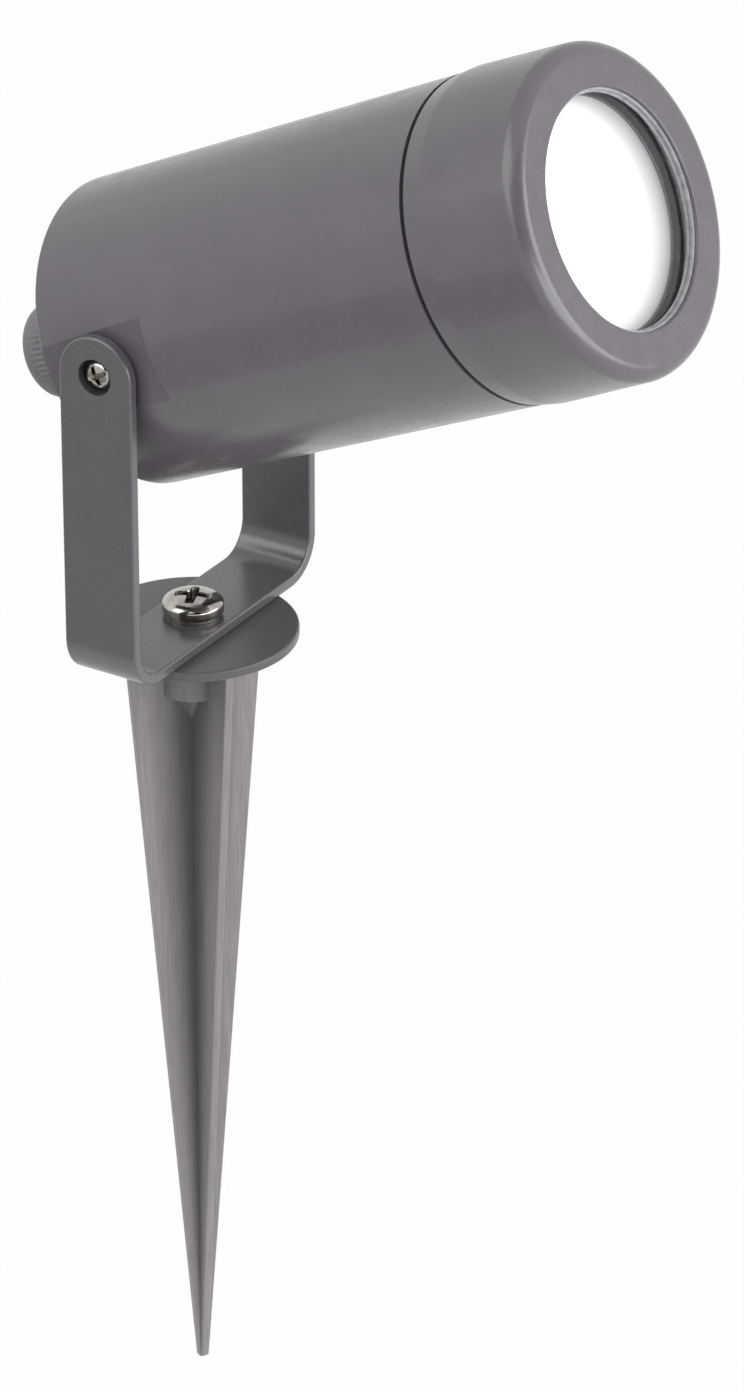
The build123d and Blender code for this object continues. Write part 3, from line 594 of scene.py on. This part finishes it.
# ---------------------------------------------------------------- operators
class SPOTLIGHT_OT_spike(bpy.types.Operator):
    """Make the ground spike: disc, boss and four tapering ribs in one skin"""

    bl_idname = "spotlight.spike"
    bl_label = "Ground spike"
    edge_points, inside_points, outside_points = 5, 25, 9
    blade_rows, point_rows, boss_rows = 24, 8, 6

    def rib_outline(self, sizes, reach, boss):
        """The spike's outline at one level, in polar form: (out, turn) of the same points at every level.

        One quarter runs from the middle of a rib's end, round its edge, along its flank to the corner
        between two ribs, and back out along the next rib. Where the boss is wider, points move out to it.
        """
        half, edge = sizes.rib_thick / 2, sizes.rib_edge
        bend = np.linspace(0, pi / 2, self.edge_points)
        edge_x, edge_y = reach - edge + edge * np.cos(bend), half - edge + edge * np.sin(bend)
        # Along the flank the points are even outside the boss, and even in angle inside it.
        full = sizes.rib_reach - edge - half
        boss_x = (sizes.boss_radius ** 2 - half ** 2) ** 0.5
        inside = half / np.tan(np.linspace(atan2(half, boss_x), pi / 4, self.inside_points)) - half
        outside = np.linspace(full, boss_x - half, self.outside_points)[1:-1]
        flank_x = half + np.concatenate([outside, inside]) / full * (reach - edge - half)
        x = np.concatenate([[reach], edge_x, flank_x])
        y = np.concatenate([[0.0], edge_y, np.full(len(flank_x), half)])
        x, y = np.concatenate([x, y[-2:0:-1]]), np.concatenate([y, x[-2:0:-1]])
        out = np.maximum(np.hypot(x, y), boss)
        turn = np.arctan2(y, x)
        quarters = np.arange(4)[:, None] * pi / 2
        return np.tile(out, 4), (turn[None] + quarters).ravel() + sizes.rib_turn

    def execute(self, context):
        sizes, colours = context.scene.spotlight_spike, context.scene.spotlight_colours
        tip = SPIKE_SPAN.low
        boss_foot, point_foot = -sizes.boss_depth, -sizes.boss_depth - sizes.point_depth
        point = np.linspace(0, 1, self.point_rows + 1)[1:]
        levels = np.concatenate([np.linspace(tip, point_foot, self.blade_rows),
                                 boss_foot - sizes.point_depth * (1 - point),
                                 np.linspace(boss_foot, 0, self.boss_rows)])
        bosses = np.concatenate([np.zeros(self.blade_rows), sizes.point_radius * point,
                                 np.full(self.boss_rows, sizes.boss_radius)])
        reaches = sizes.tip_reach + (levels - tip) / -tip * (sizes.rib_reach - sizes.tip_reach)
        rows = [self.rib_outline(sizes, reach, boss) for reach, boss in zip(reaches, bosses)]
        turn = rows[-1][1]
        blade = [place(SPIKE, level, out, angle) for level, (out, angle) in zip(levels, rows)]
        rim, thick, edge, hole = SPIKE_SPAN.outer, sizes.disc_thick, sizes.disc_edge, sizes.hole_radius
        disc = rounded([(0, hole, 0), (0, rim, edge), (thick, rim, edge), (thick, hole, 0)])[1:-1]
        top = np.concatenate([disc, [(thick, hole), (boss_foot, hole), (boss_foot, 0)]])
        cap = turned(SPIKE, top, turn)
        foot = place(SPIKE, tip, 0.0, turn)[None]
        skin = np.concatenate([foot, np.array(blade), cap])
        make_piece("spike_moulding", [skin], "spike",
                   moulded_plastic("spike_plastic_drawn", colours.spike, roughness=0.33, wear_and_shade=spike_streaks_and_shade),
                   ["ground_spike"], closed=False, crease=radians(40))
        return {"FINISHED"}


class SPOTLIGHT_OT_yoke(bpy.types.Operator):
    """Finish the yoke"""

    bl_idname = "spotlight.yoke"
    bl_label = "Yoke"

    def execute(self, context):
        colours = context.scene.spotlight_colours
        give_finish(moulded_plastic("yoke_plastic_grained", colours.yoke, roughness=0.24, gloss=0.9,
                                    wear_and_shade=ear_sink_shade), "yoke")
        return {"FINISHED"}


class SPOTLIGHT_OT_housing(bpy.types.Operator):
    """Finish the housing, and make the thread that the bezel screws on"""

    bl_idname = "spotlight.housing"
    bl_label = "Housing"

    def execute(self, context):
        sizes, colours = context.scene.spotlight_bezel, context.scene.spotlight_colours
        coat = powder_coat("coat_on_housing", colours.coat)
        give_finish(coat, "housing")
        # A ridge round the spigot: out = root + depth * wave(along, turn), on a ring that ends inside it.
        clearance, sunk, play, wall = 0.05 * MM, 0.02 * MM, 0.12 * MM, 0.3 * MM
        rear_gap, front_gap = 1.5 * MM, 2.6 * MM
        spigot = sizes.bore_radius - clearance
        rear, front = BEZEL.low + rear_gap, GLASS.low - front_gap
        along, turn = np.linspace(rear, front, 120)[:, None], turns(240)
        fade = np.clip(np.minimum(along - rear, front - along) / BEZEL_PITCH, 0, 1)
        depth = (sizes.thread_depth - play) * fade
        outer = place(HEAD, along, spigot - sunk + depth * thread_wave(along, turn, BEZEL_PITCH), turn)
        inner = place(HEAD, along[::-1], spigot - wall, turn)
        make_piece("spigot_thread", [np.concatenate([outer, inner])], "head", coat,
                   crease=radians(60))
        return {"FINISHED"}


class SPOTLIGHT_OT_bezel(bpy.types.Operator):
    """Make the bezel with its rounded front edge, mouth, glass pocket and thread"""

    bl_idname = "spotlight.bezel"
    bl_label = "Bezel"

    def execute(self, context):
        sizes, colours = context.scene.spotlight_bezel, context.scene.spotlight_colours
        rear, front = BEZEL.low, BEZEL.high
        ledge, inner_edge = 0.7 * MM, 0.1 * MM
        bore_front = GLASS.low - ledge
        skin = rounded([
            (rear, sizes.bore_radius + sizes.thread_depth, 0), (rear, sizes.rear_radius, sizes.rear_edge),
            (rear + sizes.flare, BEZEL.outer, sizes.flare), (front, sizes.front_radius, sizes.front_edge),
            (front, BEZEL.inner, sizes.mouth_edge), (GLASS.high, BEZEL.inner, inner_edge),
            (GLASS.high, sizes.pocket_radius, 0), (GLASS.low, sizes.pocket_radius, 0),
            (bore_front, sizes.bore_radius, 0)], steps=12)
        turn = turns(288)
        solid = turned(HEAD, skin, turn)
        # The bore's thread: out = bore + depth * wave(along, turn). It fades out at its front end, and
        # opens to its full width at the rear end, where the housing's thread comes in.
        run_out, entry_depth, entry_slope = 1.2 * MM, 1.6 * MM, 0.5 * MM
        along = np.linspace(bore_front, rear, 110)[1:-1, None]
        fade = np.clip((GLASS.low - along - run_out) / BEZEL_PITCH, 0, 1)
        entry = np.clip((rear + entry_depth - along) / entry_slope, 0, 1)
        wave = np.maximum(fade * thread_wave(along, turn, BEZEL_PITCH), entry)
        bore = place(HEAD, along, sizes.bore_radius + sizes.thread_depth * wave, turn)
        make_piece("bezel_ring", [np.concatenate([solid, bore])], "bezel",
                   powder_coat("coat_on_bezel", colours.coat), ["bezel"], crease=radians(50))
        return {"FINISHED"}


class SPOTLIGHT_OT_seam_seal(bpy.types.Operator):
    """Make the round-edged rubber seal that shows as the dark seam"""

    bl_idname = "spotlight.seam_seal"
    bl_label = "Seam seal"

    def execute(self, context):
        colours = context.scene.spotlight_colours
        edge = (SEAL.high - SEAL.low) * 0.45  # nearly a half round
        ring = rounded([(SEAL.low, SEAL.inner, 0), (SEAL.low, SEAL.outer, edge),
                        (SEAL.high, SEAL.outer, edge), (SEAL.high, SEAL.inner, 0)])
        make_piece("seam_seal", [turned(HEAD, ring)], "head",
                   soft_rubber("seal_rubber_matt", colours.rubber), ["bezel_seal"])
        return {"FINISHED"}


class SPOTLIGHT_OT_glass(bpy.types.Operator):
    """Make the front glass with its ground bevels, and finish its gasket"""

    bl_idname = "spotlight.glass"
    bl_label = "Front glass"

    def execute(self, context):
        sizes = context.scene.spotlight_bezel
        bevel = sizes.glass_bevel
        rim = np.array([
            (GLASS.low, 0), (GLASS.low, GLASS.outer - bevel), (GLASS.low + bevel, GLASS.outer),
            (GLASS.high - bevel, GLASS.outer), (GLASS.high, GLASS.outer - bevel), (GLASS.high, 0)])
        make_piece("glass_disc", [turned(HEAD, rim)], "glass_pack", clear_glass("glass_clear"),
                   ["front_glass"], closed=False)
        silicone = soft_rubber("silicone_pale", (0.27, 0.265, 0.28), 0.35)
        give_finish(silicone, "glass_gasket")
        # A lip of silicone in the corner between the glass and the bezel's mouth: a broad foot, a groove
        # and a narrower top. A corner is a share of the height, a share of the width and a radius in mm.
        mouth_gap = 0.03 * MM
        foot = [(0, 1, 0), (0.28, 1, 0.12)]
        groove = [(0.38, 0.30, 0), (0.48, 0.30, 0)]
        top = [(0.55, 0.62, 0.08), (1, 0.55, 0.15)]
        back = [(1, 0, 0), (0, 0, 0)]
        corners = np.array(foot + groove + top + back) * (sizes.lip_height, sizes.lip_width, MM)
        lip = rounded(corners, steps=4)
        lip = np.stack([GLASS.high + lip[:, 0], BEZEL.inner - mouth_gap - lip[:, 1]], 1)
        make_piece("glass_lip", [turned(HEAD, lip)], "glass_pack", silicone)
        return {"FINISHED"}


class SPOTLIGHT_OT_gland(bpy.types.Operator):
    """Make the cable gland's ribbed round nut and its rubber bush, and finish its body"""

    bl_idname = "spotlight.gland"
    bl_label = "Cable gland"

    def execute(self, context):
        sizes, colours = context.scene.spotlight_gland, context.scene.spotlight_colours
        plastic = moulded_plastic("gland_plastic_grained", colours.gland)
        shoulder = NUT.low + sizes.end_wall
        hole_edge, front_edge, bore_edge = 0.5 * MM, 0.3 * MM, 0.2 * MM
        ring = rounded([
            (NUT.low, sizes.hole_radius, hole_edge), (NUT.low, NUT.outer, sizes.end_edge),
            (NUT.high, NUT.outer, front_edge), (NUT.high, sizes.bore_radius, bore_edge),
            (shoulder, sizes.bore_radius, 0), (shoulder, sizes.hole_radius, bore_edge)], steps=6)
        rows, front_gap, hair, skin = 14, 0.5 * MM, 0.01 * MM, 0.35 * MM
        flank = np.linspace(NUT.low + sizes.band, NUT.high - front_gap, rows)
        first = int(np.argmax(ring[:, 0] > NUT.low + sizes.end_edge - hair)) + 1
        ring = np.insert(ring, first, np.stack([flank, np.full(rows, NUT.outer)], 1), axis=0)
        # Ribs: out = radius - depth * share * (0.5 - 0.5 cos(ribs * turn)) ^ squareness. The share grows
        # past the band, and is 0 below the nut's skin.
        run_in, squareness, points_a_rib = 0.5 * MM, 0.6, 12
        turn = turns(sizes.ribs * points_a_rib)
        along, out = ring[:, :1], ring[:, 1:]
        share = np.clip((along - NUT.low - sizes.band) / run_in, 0, 1) * (out > NUT.outer - skin)
        groove = (0.5 - 0.5 * np.cos(sizes.ribs * turn)) ** squareness
        cap = place(HEAD, along, out - sizes.rib_depth * share * groove, turn)
        make_piece("gland_cap", [cap], "gland_nut", plastic, ["gland_nut"],
                   crease=radians(50))
        inner_edge, outer_edge = 0.4 * MM, 0.5 * MM
        bush = rounded([(BUSH.low, BUSH.inner, inner_edge), (BUSH.low, BUSH.outer, outer_edge),
                        (BUSH.high, BUSH.outer, outer_edge), (BUSH.high, BUSH.inner, inner_edge)])
        # Sealing lips in the bush, whose bore opens between them: out = bore + opening * wave ^ 0.5.
        opening, waves = 0.25 * MM, 4
        inside = np.linspace(BUSH.high, BUSH.low, 40)[3:-3]
        share = (inside - BUSH.low) / (BUSH.high - BUSH.low)
        lips = BUSH.inner + opening * (0.5 - 0.5 * np.cos(share * waves * tau)) ** 0.5
        bush = np.concatenate([bush, np.stack([inside, lips], 1)])
        make_piece("cable_bush", [turned(HEAD, bush, turns(128))], "gland_seal",
                   soft_rubber("bush_rubber", colours.rubber), ["gland_seal"])
        give_finish(plastic, "gland_body", "gland_locknut")
        give_finish(soft_rubber("washer_rubber", colours.rubber), "gland_washer")
        return {"FINISHED"}


class SPOTLIGHT_OT_screws(bpy.types.Operator):
    """Make the pan-head screws with their cross recesses and threads"""

    bl_idname = "spotlight.screws"
    bl_label = "Screws"

    def screw_grid(self, sizes, seat, span, head_height, shank_radius, pitch, turn_of_cross, recess_reach):
        """One screw on a seat under its head: its polar grid, and how much painted darkening each point takes.

        Head: height = side + rise * (1 - (out / radius)^2)^0.5, so its shoulder is round and its top low.
        Recess: the height falls by the largest of two crossed wings and a core, each steep at its sides and
        deepest in the middle. Thread: out = root + depth * wave(along, turn), fading out at both ends.
        The recess's sizes here are shares of the head's radius.
        """
        crown, soft, core, core_soft, wing_slope = 0.74, 0.05, 0.26, 0.06, 0.45
        radius = span.outer
        side = head_height * sizes.side_share
        turn = turns(228)
        shoulder = np.sin(np.linspace(np.arcsin(crown), pi / 2, 26))[1:]
        out = np.concatenate([np.linspace(0, crown, 90), shoulder])[:, None]
        dome = side + (head_height - side) * np.sqrt(np.clip(1 - out ** 2, 0, 1))
        x, y = out * np.cos(turn - turn_of_cross), out * np.sin(turn - turn_of_cross)
        recess = np.zeros(x.shape)
        for reach, width in ((np.abs(x), np.abs(y)), (np.abs(y), np.abs(x))):
            flank = np.clip((sizes.recess_width / 2 - width + 0.4 * soft) / soft, 0, 1)
            slope = np.clip((recess_reach - reach) / (recess_reach * wing_slope), 0, 1)
            recess = np.maximum(recess, flank * slope)
        recess = np.maximum(recess, np.clip((core - np.hypot(x, y)) / core_soft, 0, 1))
        top = place(seat, dome - recess * sizes.recess_depth * radius, out * radius, turn)
        # The skirt below the shoulder goes straight down, and a little inwards at its foot.
        rim = np.array([(0.5, 1.0), (0.10, 1.0), (0.0, 0.985)]) * (side, radius)
        skirt = turned(seat, rim, turn)
        shank_length = head_height - (span.high - span.low)
        along = np.linspace(0, shank_length, 90)[:, None]
        fade = np.clip(-along / pitch - 0.5, 0, 1) * np.clip((along - shank_length) / pitch, 0, 1)
        depth = pitch * 0.55  # a metric thread's
        neck = np.clip(1 + along / (0.5 * pitch), 0, 1)
        shank = shank_radius - depth + depth * np.maximum(fade * thread_wave(along, turn, pitch), neck)
        shank = place(seat, along, shank, turn)
        end = place(seat, np.array([[shank_length]]), np.array([[0.0]]), turn)
        grid = np.concatenate([top, skirt, shank, end])
        # Painted shade fills the recess, a painted dark reflection covers the crown out to its reach, and the
        # skirt is darkened a little.
        crown_painted_reflection, crown_reach, skirt_darkening = 0.34, 0.85, 0.38
        screw_darkening = np.zeros(grid.shape[:2])
        screw_darkening[:len(top)] = np.maximum(recess, crown_painted_reflection * np.clip(1 - out / crown_reach, 0, 1))
        screw_darkening[len(top):len(top) + len(skirt)] = skirt_darkening
        return grid, screw_darkening

    def execute(self, context):
        sizes, colours = context.scene.spotlight_screws, context.scene.spotlight_colours
        nickel = plated_metal("nickel_plate", colours.nickel)
        head_height = sizes.base_height
        seat = Seat(VERTICAL * (BASE_SCREW.high - head_height), VERTICAL, SIDEWAYS)
        grid, screw_darkening = self.screw_grid(sizes, seat, BASE_SCREW, head_height, *M6, sizes.base_turn,
                                       sizes.base_reach)
        make_piece("base_screw_bright", [grid], "spike", nickel, ["base_screw"],
                   closed=False, hollow=screw_darkening)
        top, foot = seat.origin[2], seat.origin[2] - sizes.washer_thick
        hole, hole_edge, rim_edge = 3.1 * MM, 0.1 * MM, 0.2 * MM
        washer = rounded([(foot, hole, hole_edge), (foot, sizes.washer_radius, rim_edge),
                          (top, sizes.washer_radius, rim_edge), (top, hole, hole_edge)])
        make_piece("spring_washer", [turned(SPIKE, washer, turns(128))], "spike",
                   plated_metal("washer_zinc", (0.33, 0.33, 0.30), roughness=0.35))
        low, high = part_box("pivot_screws")
        reach, radius = high.x, (high.z - low.z) / 2
        cad_height, shank_length = 1.8 * MM, 8.0 * MM
        under_head = reach - cad_height
        span = Span(-shank_length, sizes.side_height, 0.0, radius)
        grids, screw_darkenings = [], []
        for side in (-1.0, 1.0):
            seat = Seat(PIVOT + SIDEWAYS * side * under_head, SIDEWAYS * side, VERTICAL)
            grid, screw_darkening = self.screw_grid(sizes, seat, span, sizes.side_height, *M3, sizes.side_turn,
                                           sizes.side_reach)
            grids.append(grid)
            screw_darkenings.append(screw_darkening)
        make_piece("side_screws_bright", grids, "head", nickel, ["pivot_screws"],
                   closed=False, hollow=np.array(screw_darkenings))
        give_finish(plated_metal("nickel_inside", colours.nickel, roughness=0.25),
                    "earth_screw", "bracket_screws", "holder_screws")
        return {"FINISHED"}


class SPOTLIGHT_OT_lamp(bpy.types.Operator):
    """Make the lamp's body with its lit front, and finish the lamp's other parts"""

    bl_idname = "spotlight.lamp"
    bl_label = "Lamp"

    def execute(self, context):
        sizes, colours = context.scene.spotlight_lamp, context.scene.spotlight_colours
        # The lit front: a middle that rises by crown * (1 - (out / radius)^2), and a steep wall up to the
        # rim's opening.
        crown, thick, corner, corner_gap = 0.5 * MM, 0.8 * MM, 0.5 * MM, 0.6 * MM
        floor, mouth = LENS.high - sizes.front_depth, SHELL.high - sizes.rim_edge
        out = np.linspace(0, sizes.front_radius - corner_gap, 40)
        middle = np.stack([floor + crown * (1 - (out / sizes.front_radius) ** 2), out], 1)
        back = floor - thick
        wall = rounded([(floor, 0, 0), (floor, sizes.front_radius, corner), (mouth, sizes.opening, 0),
                        (back, sizes.opening, 0), (back, 0, 0)])
        lit = np.concatenate([middle, wall[1:]])
        make_piece("lamp_front", [turned(HEAD, lit)], "lamp",
                   lit_diffuser("lamp_lit", colours.light, sizes.front_radius, sizes.opening),
                   ["lamp_lens"], closed=False)
        # The body: out grows from the waist to the rim with the share t of the way between, partly as t and
        # partly as the smooth step 3t^2 - 2t^3.
        straight = 0.45
        share = np.linspace(0, 1, 40)
        waist, rim_foot = SHELL.low + sizes.waist_rise, SHELL.high - sizes.rim_height
        swell = straight * share + (1 - straight) * share ** 2 * (3 - 2 * share)
        flank = np.stack([waist + (rim_foot - waist) * share,
                          sizes.waist_radius + (SHELL.outer - sizes.waist_radius) * swell], 1)
        rim = rounded([(rim_foot, SHELL.outer, 0), (SHELL.high, SHELL.outer, sizes.rim_edge),
                       (SHELL.high, sizes.opening, sizes.rim_edge), (back, sizes.opening, 0),
                       (back, 0, 0)])
        neck = np.array([(SHELL.low, 0), (SHELL.low, sizes.neck_radius)])
        body = np.concatenate([neck, flank, rim[1:]])
        make_piece("lamp_body", [turned(HEAD, body)], "lamp",
                   powder_coat("lamp_body_dark", (0.042, 0.028, 0.046)), ["lamp_shell"],
                   closed=False)
        give_finish(plain_moulding("lamp_base_white", (0.80, 0.80, 0.79), 0.35), "lamp_base")
        return {"FINISHED"}


class SPOTLIGHT_OT_fittings(bpy.types.Operator):
    """Finish the holder, its bracket, the contacts, the terminals and the leads inside the head"""

    bl_idname = "spotlight.fittings"
    bl_label = "Fittings inside"

    def execute(self, context):
        give_finish(plain_moulding("glazed_steatite", (0.78, 0.75, 0.68), 0.22), "lampholder")
        give_finish(plated_metal("zinc_plate", (0.62, 0.63, 0.62), 0.32), "holder_bracket")
        give_finish(plated_metal("bright_brass", (0.78, 0.60, 0.28), 0.24), "holder_contacts", "lamp_pins",
                    "terminal_screws")
        give_finish(plain_moulding("terminal_ivory", (0.68, 0.65, 0.56), 0.45), "terminal_block")
        give_finish(soft_rubber("silicone_sleeve", (0.50, 0.46, 0.38), 0.55), "lamp_leads")
        return {"FINISHED"}


class SPOTLIGHT_OT_studio(bpy.types.Operator):
    """Set up the camera, the soft lights and the pale floor"""

    bl_idname = "spotlight.studio"
    bl_label = "Studio"

    def set_camera(self, studio):
        """A camera whose back, right and up directions follow from its azimuth, elevation and roll."""
        turn, rise, roll = studio.azimuth, studio.elevation, studio.roll
        back = np.array((sin(turn) * cos(rise), -cos(turn) * cos(rise), sin(rise)))
        right = np.array((cos(turn), sin(turn), 0.0))
        up = np.cross(back, right)
        rolled_right = cos(roll) * right + sin(roll) * up
        rolled_up = cos(roll) * up - sin(roll) * right
        camera = bpy.data.cameras.new("Camera")
        camera.sensor_width = SENSOR
        camera.lens = studio.focal_pixels / PICTURE_HEIGHT * SENSOR
        camera.shift_x = (PICTURE_WIDTH / 2 - studio.centre_x) / PICTURE_HEIGHT
        camera.shift_y = (studio.centre_y - PICTURE_HEIGHT / 2) / PICTURE_HEIGHT
        camera.clip_start, camera.clip_end = NEAREST, FARTHEST
        stand = bpy.data.objects.new("Camera", camera)
        bpy.context.scene.collection.objects.link(stand)
        axes = Matrix(np.stack([rolled_right, rolled_up, back], 1)).to_4x4()
        stand.matrix_world = Matrix.Translation(studio.camera_place) @ axes
        bpy.context.scene.camera = stand

    def facing(self, spot):
        """A board's side, up and back directions, where it stands at a spot and faces the tilt axis."""
        back = unit(np.array(spot, float) - PIVOT)
        side = unit(np.cross(VERTICAL, back))
        return side, np.cross(back, side), back

    def add_softbox(self, board, power):
        """A rectangular soft light that the camera doesn't see."""
        light = bpy.data.lights.new(board.name, "AREA")
        light.shape, light.size, light.size_y, light.energy = "RECTANGLE", board.width, board.height, power
        box = bpy.data.objects.new(board.name, light)
        box.visible_camera = False
        bpy.context.scene.collection.objects.link(box)
        axes = Matrix(np.stack(self.facing(board.spot), 1)).to_4x4()
        box.matrix_world = Matrix.Translation(board.spot) @ axes

    def add_plane(self, name, corners, material):
        """A flat rectangle from its four corners."""
        mesh = bpy.data.meshes.new(name)
        mesh.from_pydata(corners.tolist(), [], [(0, 1, 2, 3)])
        mesh.materials.append(material)
        plane = bpy.data.objects.new(name, mesh)
        bpy.context.scene.collection.objects.link(plane)
        return plane

    def seen_ray(self, tree):
        """1 where the camera, a mirror or a glass looks, and 0 where light is only gathered."""
        path = add_node(tree, "ShaderNodeLightPath")
        seen = path.outputs["Is Camera Ray"]
        for other in ("Is Glossy Ray", "Is Transmission Ray"):
            seen = maths("MAXIMUM", seen, path.outputs[other])
        return seen

    def set_world(self, studio):
        """Even light all round, seen as white."""
        world = bpy.data.worlds.new("Studio")
        tree = blank_tree(world)
        strength = between(self.seen_ray(tree), studio.world_light, 1.0, source=(0.0, 1.0))
        background = add_node(tree, "ShaderNodeBackground", {"Color": WHITE, "Strength": strength})
        add_node(tree, "ShaderNodeOutputWorld", {"Surface": background.outputs[0]})
        bpy.context.scene.world = world

    def set_floor(self, studio):
        """A pale floor at the spike's tip: nearly plain white to the camera, with a soft shadow."""
        level = SPIKE_SPAN.low - studio.floor_drop
        corners = np.insert(BOARD_CORNERS * FLOOR_HALF, 2, level, axis=1)
        material = bpy.data.materials.new("floor_pale")
        tree = blank_tree(material)
        matt = add_node(tree, "ShaderNodeBsdfDiffuse", {"Color": FLOOR_COLOUR})
        plain = add_node(tree, "ShaderNodeEmission", {"Color": WHITE, "Strength": 1.0})
        share = between(self.seen_ray(tree), 0.0, studio.floor_white, source=(0.0, 1.0))
        mix = add_node(tree, "ShaderNodeMixShader", {0: share, 1: matt.outputs[0], 2: plain.outputs[0]})
        add_node(tree, "ShaderNodeOutputMaterial", {"Surface": mix.outputs[0]})
        floor = self.add_plane("Floor", corners, material)

    def set_flag(self, board, tone):
        """A black or grey flag that only reflections see, which gives the gloss its dark bands."""
        side, up, _ = self.facing(board.spot)
        reach = BOARD_CORNERS * (board.width / 2, board.height / 2)
        material = bpy.data.materials.new(board.name)
        tree = blank_tree(material)
        cloth = add_node(tree, "ShaderNodeEmission", {"Color": WHITE, "Strength": tone})
        add_node(tree, "ShaderNodeOutputMaterial", {"Surface": cloth.outputs[0]})
        flag = self.add_plane(board.name, board.spot + reach[:, :1] * side + reach[:, 1:] * up, material)
        flag.visible_camera = flag.visible_diffuse = flag.visible_shadow = flag.visible_transmission = False

    def execute(self, context):
        studio = context.scene.spotlight_studio
        self.set_camera(studio)
        self.set_world(studio)
        self.set_floor(studio)
        self.add_softbox(BACK_SOFTBOX, studio.back_power)
        self.add_softbox(FRONT_SOFTBOX, studio.front_power)
        self.add_softbox(FILL_SOFTBOX, studio.fill_power)
        self.set_flag(FRONT_FLAG, studio.front_flag_tone)
        self.set_flag(LOW_FLAG, studio.low_flag_tone)
        context.scene.view_settings.view_transform = "Standard"
        return {"FINISHED"}


class SPOTLIGHT_PT_sidebar(bpy.types.Panel):
    """The sidebar panel that lists the operators and what they use"""

    bl_idname = "SPOTLIGHT_PT_sidebar"
    bl_label = "Garden spike spotlight"
    bl_space_type = "VIEW_3D"
    bl_region_type = "UI"
    bl_category = "Spotlight"

    def draw(self, context):
        for operator in OPERATORS:
            self.layout.operator(operator.bl_idname)
        for attribute, group in GROUPS.items():
            box = self.layout.box()
            box.label(text=group.__doc__)
            for key in group.__annotations__:
                box.prop(getattr(context.scene, attribute), key)


GROUPS = {
    "spotlight_spike": SpikeSizes,
    "spotlight_bezel": BezelSizes,
    "spotlight_gland": GlandSizes,
    "spotlight_lamp": LampSizes,
    "spotlight_screws": ScrewSizes,
    "spotlight_colours": FinishColours,
    "spotlight_studio": StudioSettings,
}
OPERATORS = (
    SPOTLIGHT_OT_studio,
    SPOTLIGHT_OT_spike,
    SPOTLIGHT_OT_yoke,
    SPOTLIGHT_OT_housing,
    SPOTLIGHT_OT_bezel,
    SPOTLIGHT_OT_seam_seal,
    SPOTLIGHT_OT_glass,
    SPOTLIGHT_OT_lamp,
    SPOTLIGHT_OT_gland,
    SPOTLIGHT_OT_screws,
    SPOTLIGHT_OT_fittings,
)


def register():
    """Register the property groups, the operators and the panel."""
    for group in GROUPS.values():
        bpy.utils.register_class(group)
    for made in (*OPERATORS, SPOTLIGHT_PT_sidebar):
        bpy.utils.register_class(made)
    for attribute, group in GROUPS.items():
        setattr(bpy.types.Scene, attribute, PointerProperty(type=group))


def unregister():
    """Undo what register did."""
    for attribute in GROUPS:
        delattr(bpy.types.Scene, attribute)
    for made in (SPOTLIGHT_PT_sidebar, *reversed(OPERATORS), *reversed(GROUPS.values())):
        bpy.utils.unregister_class(made)


def main():
    """Register, then make everything in order."""
    register()
    for operator in OPERATORS:
        family, name = operator.bl_idname.split(".")
        getattr(getattr(bpy.ops, family), name)()


if __name__ == "__main__":
    main()
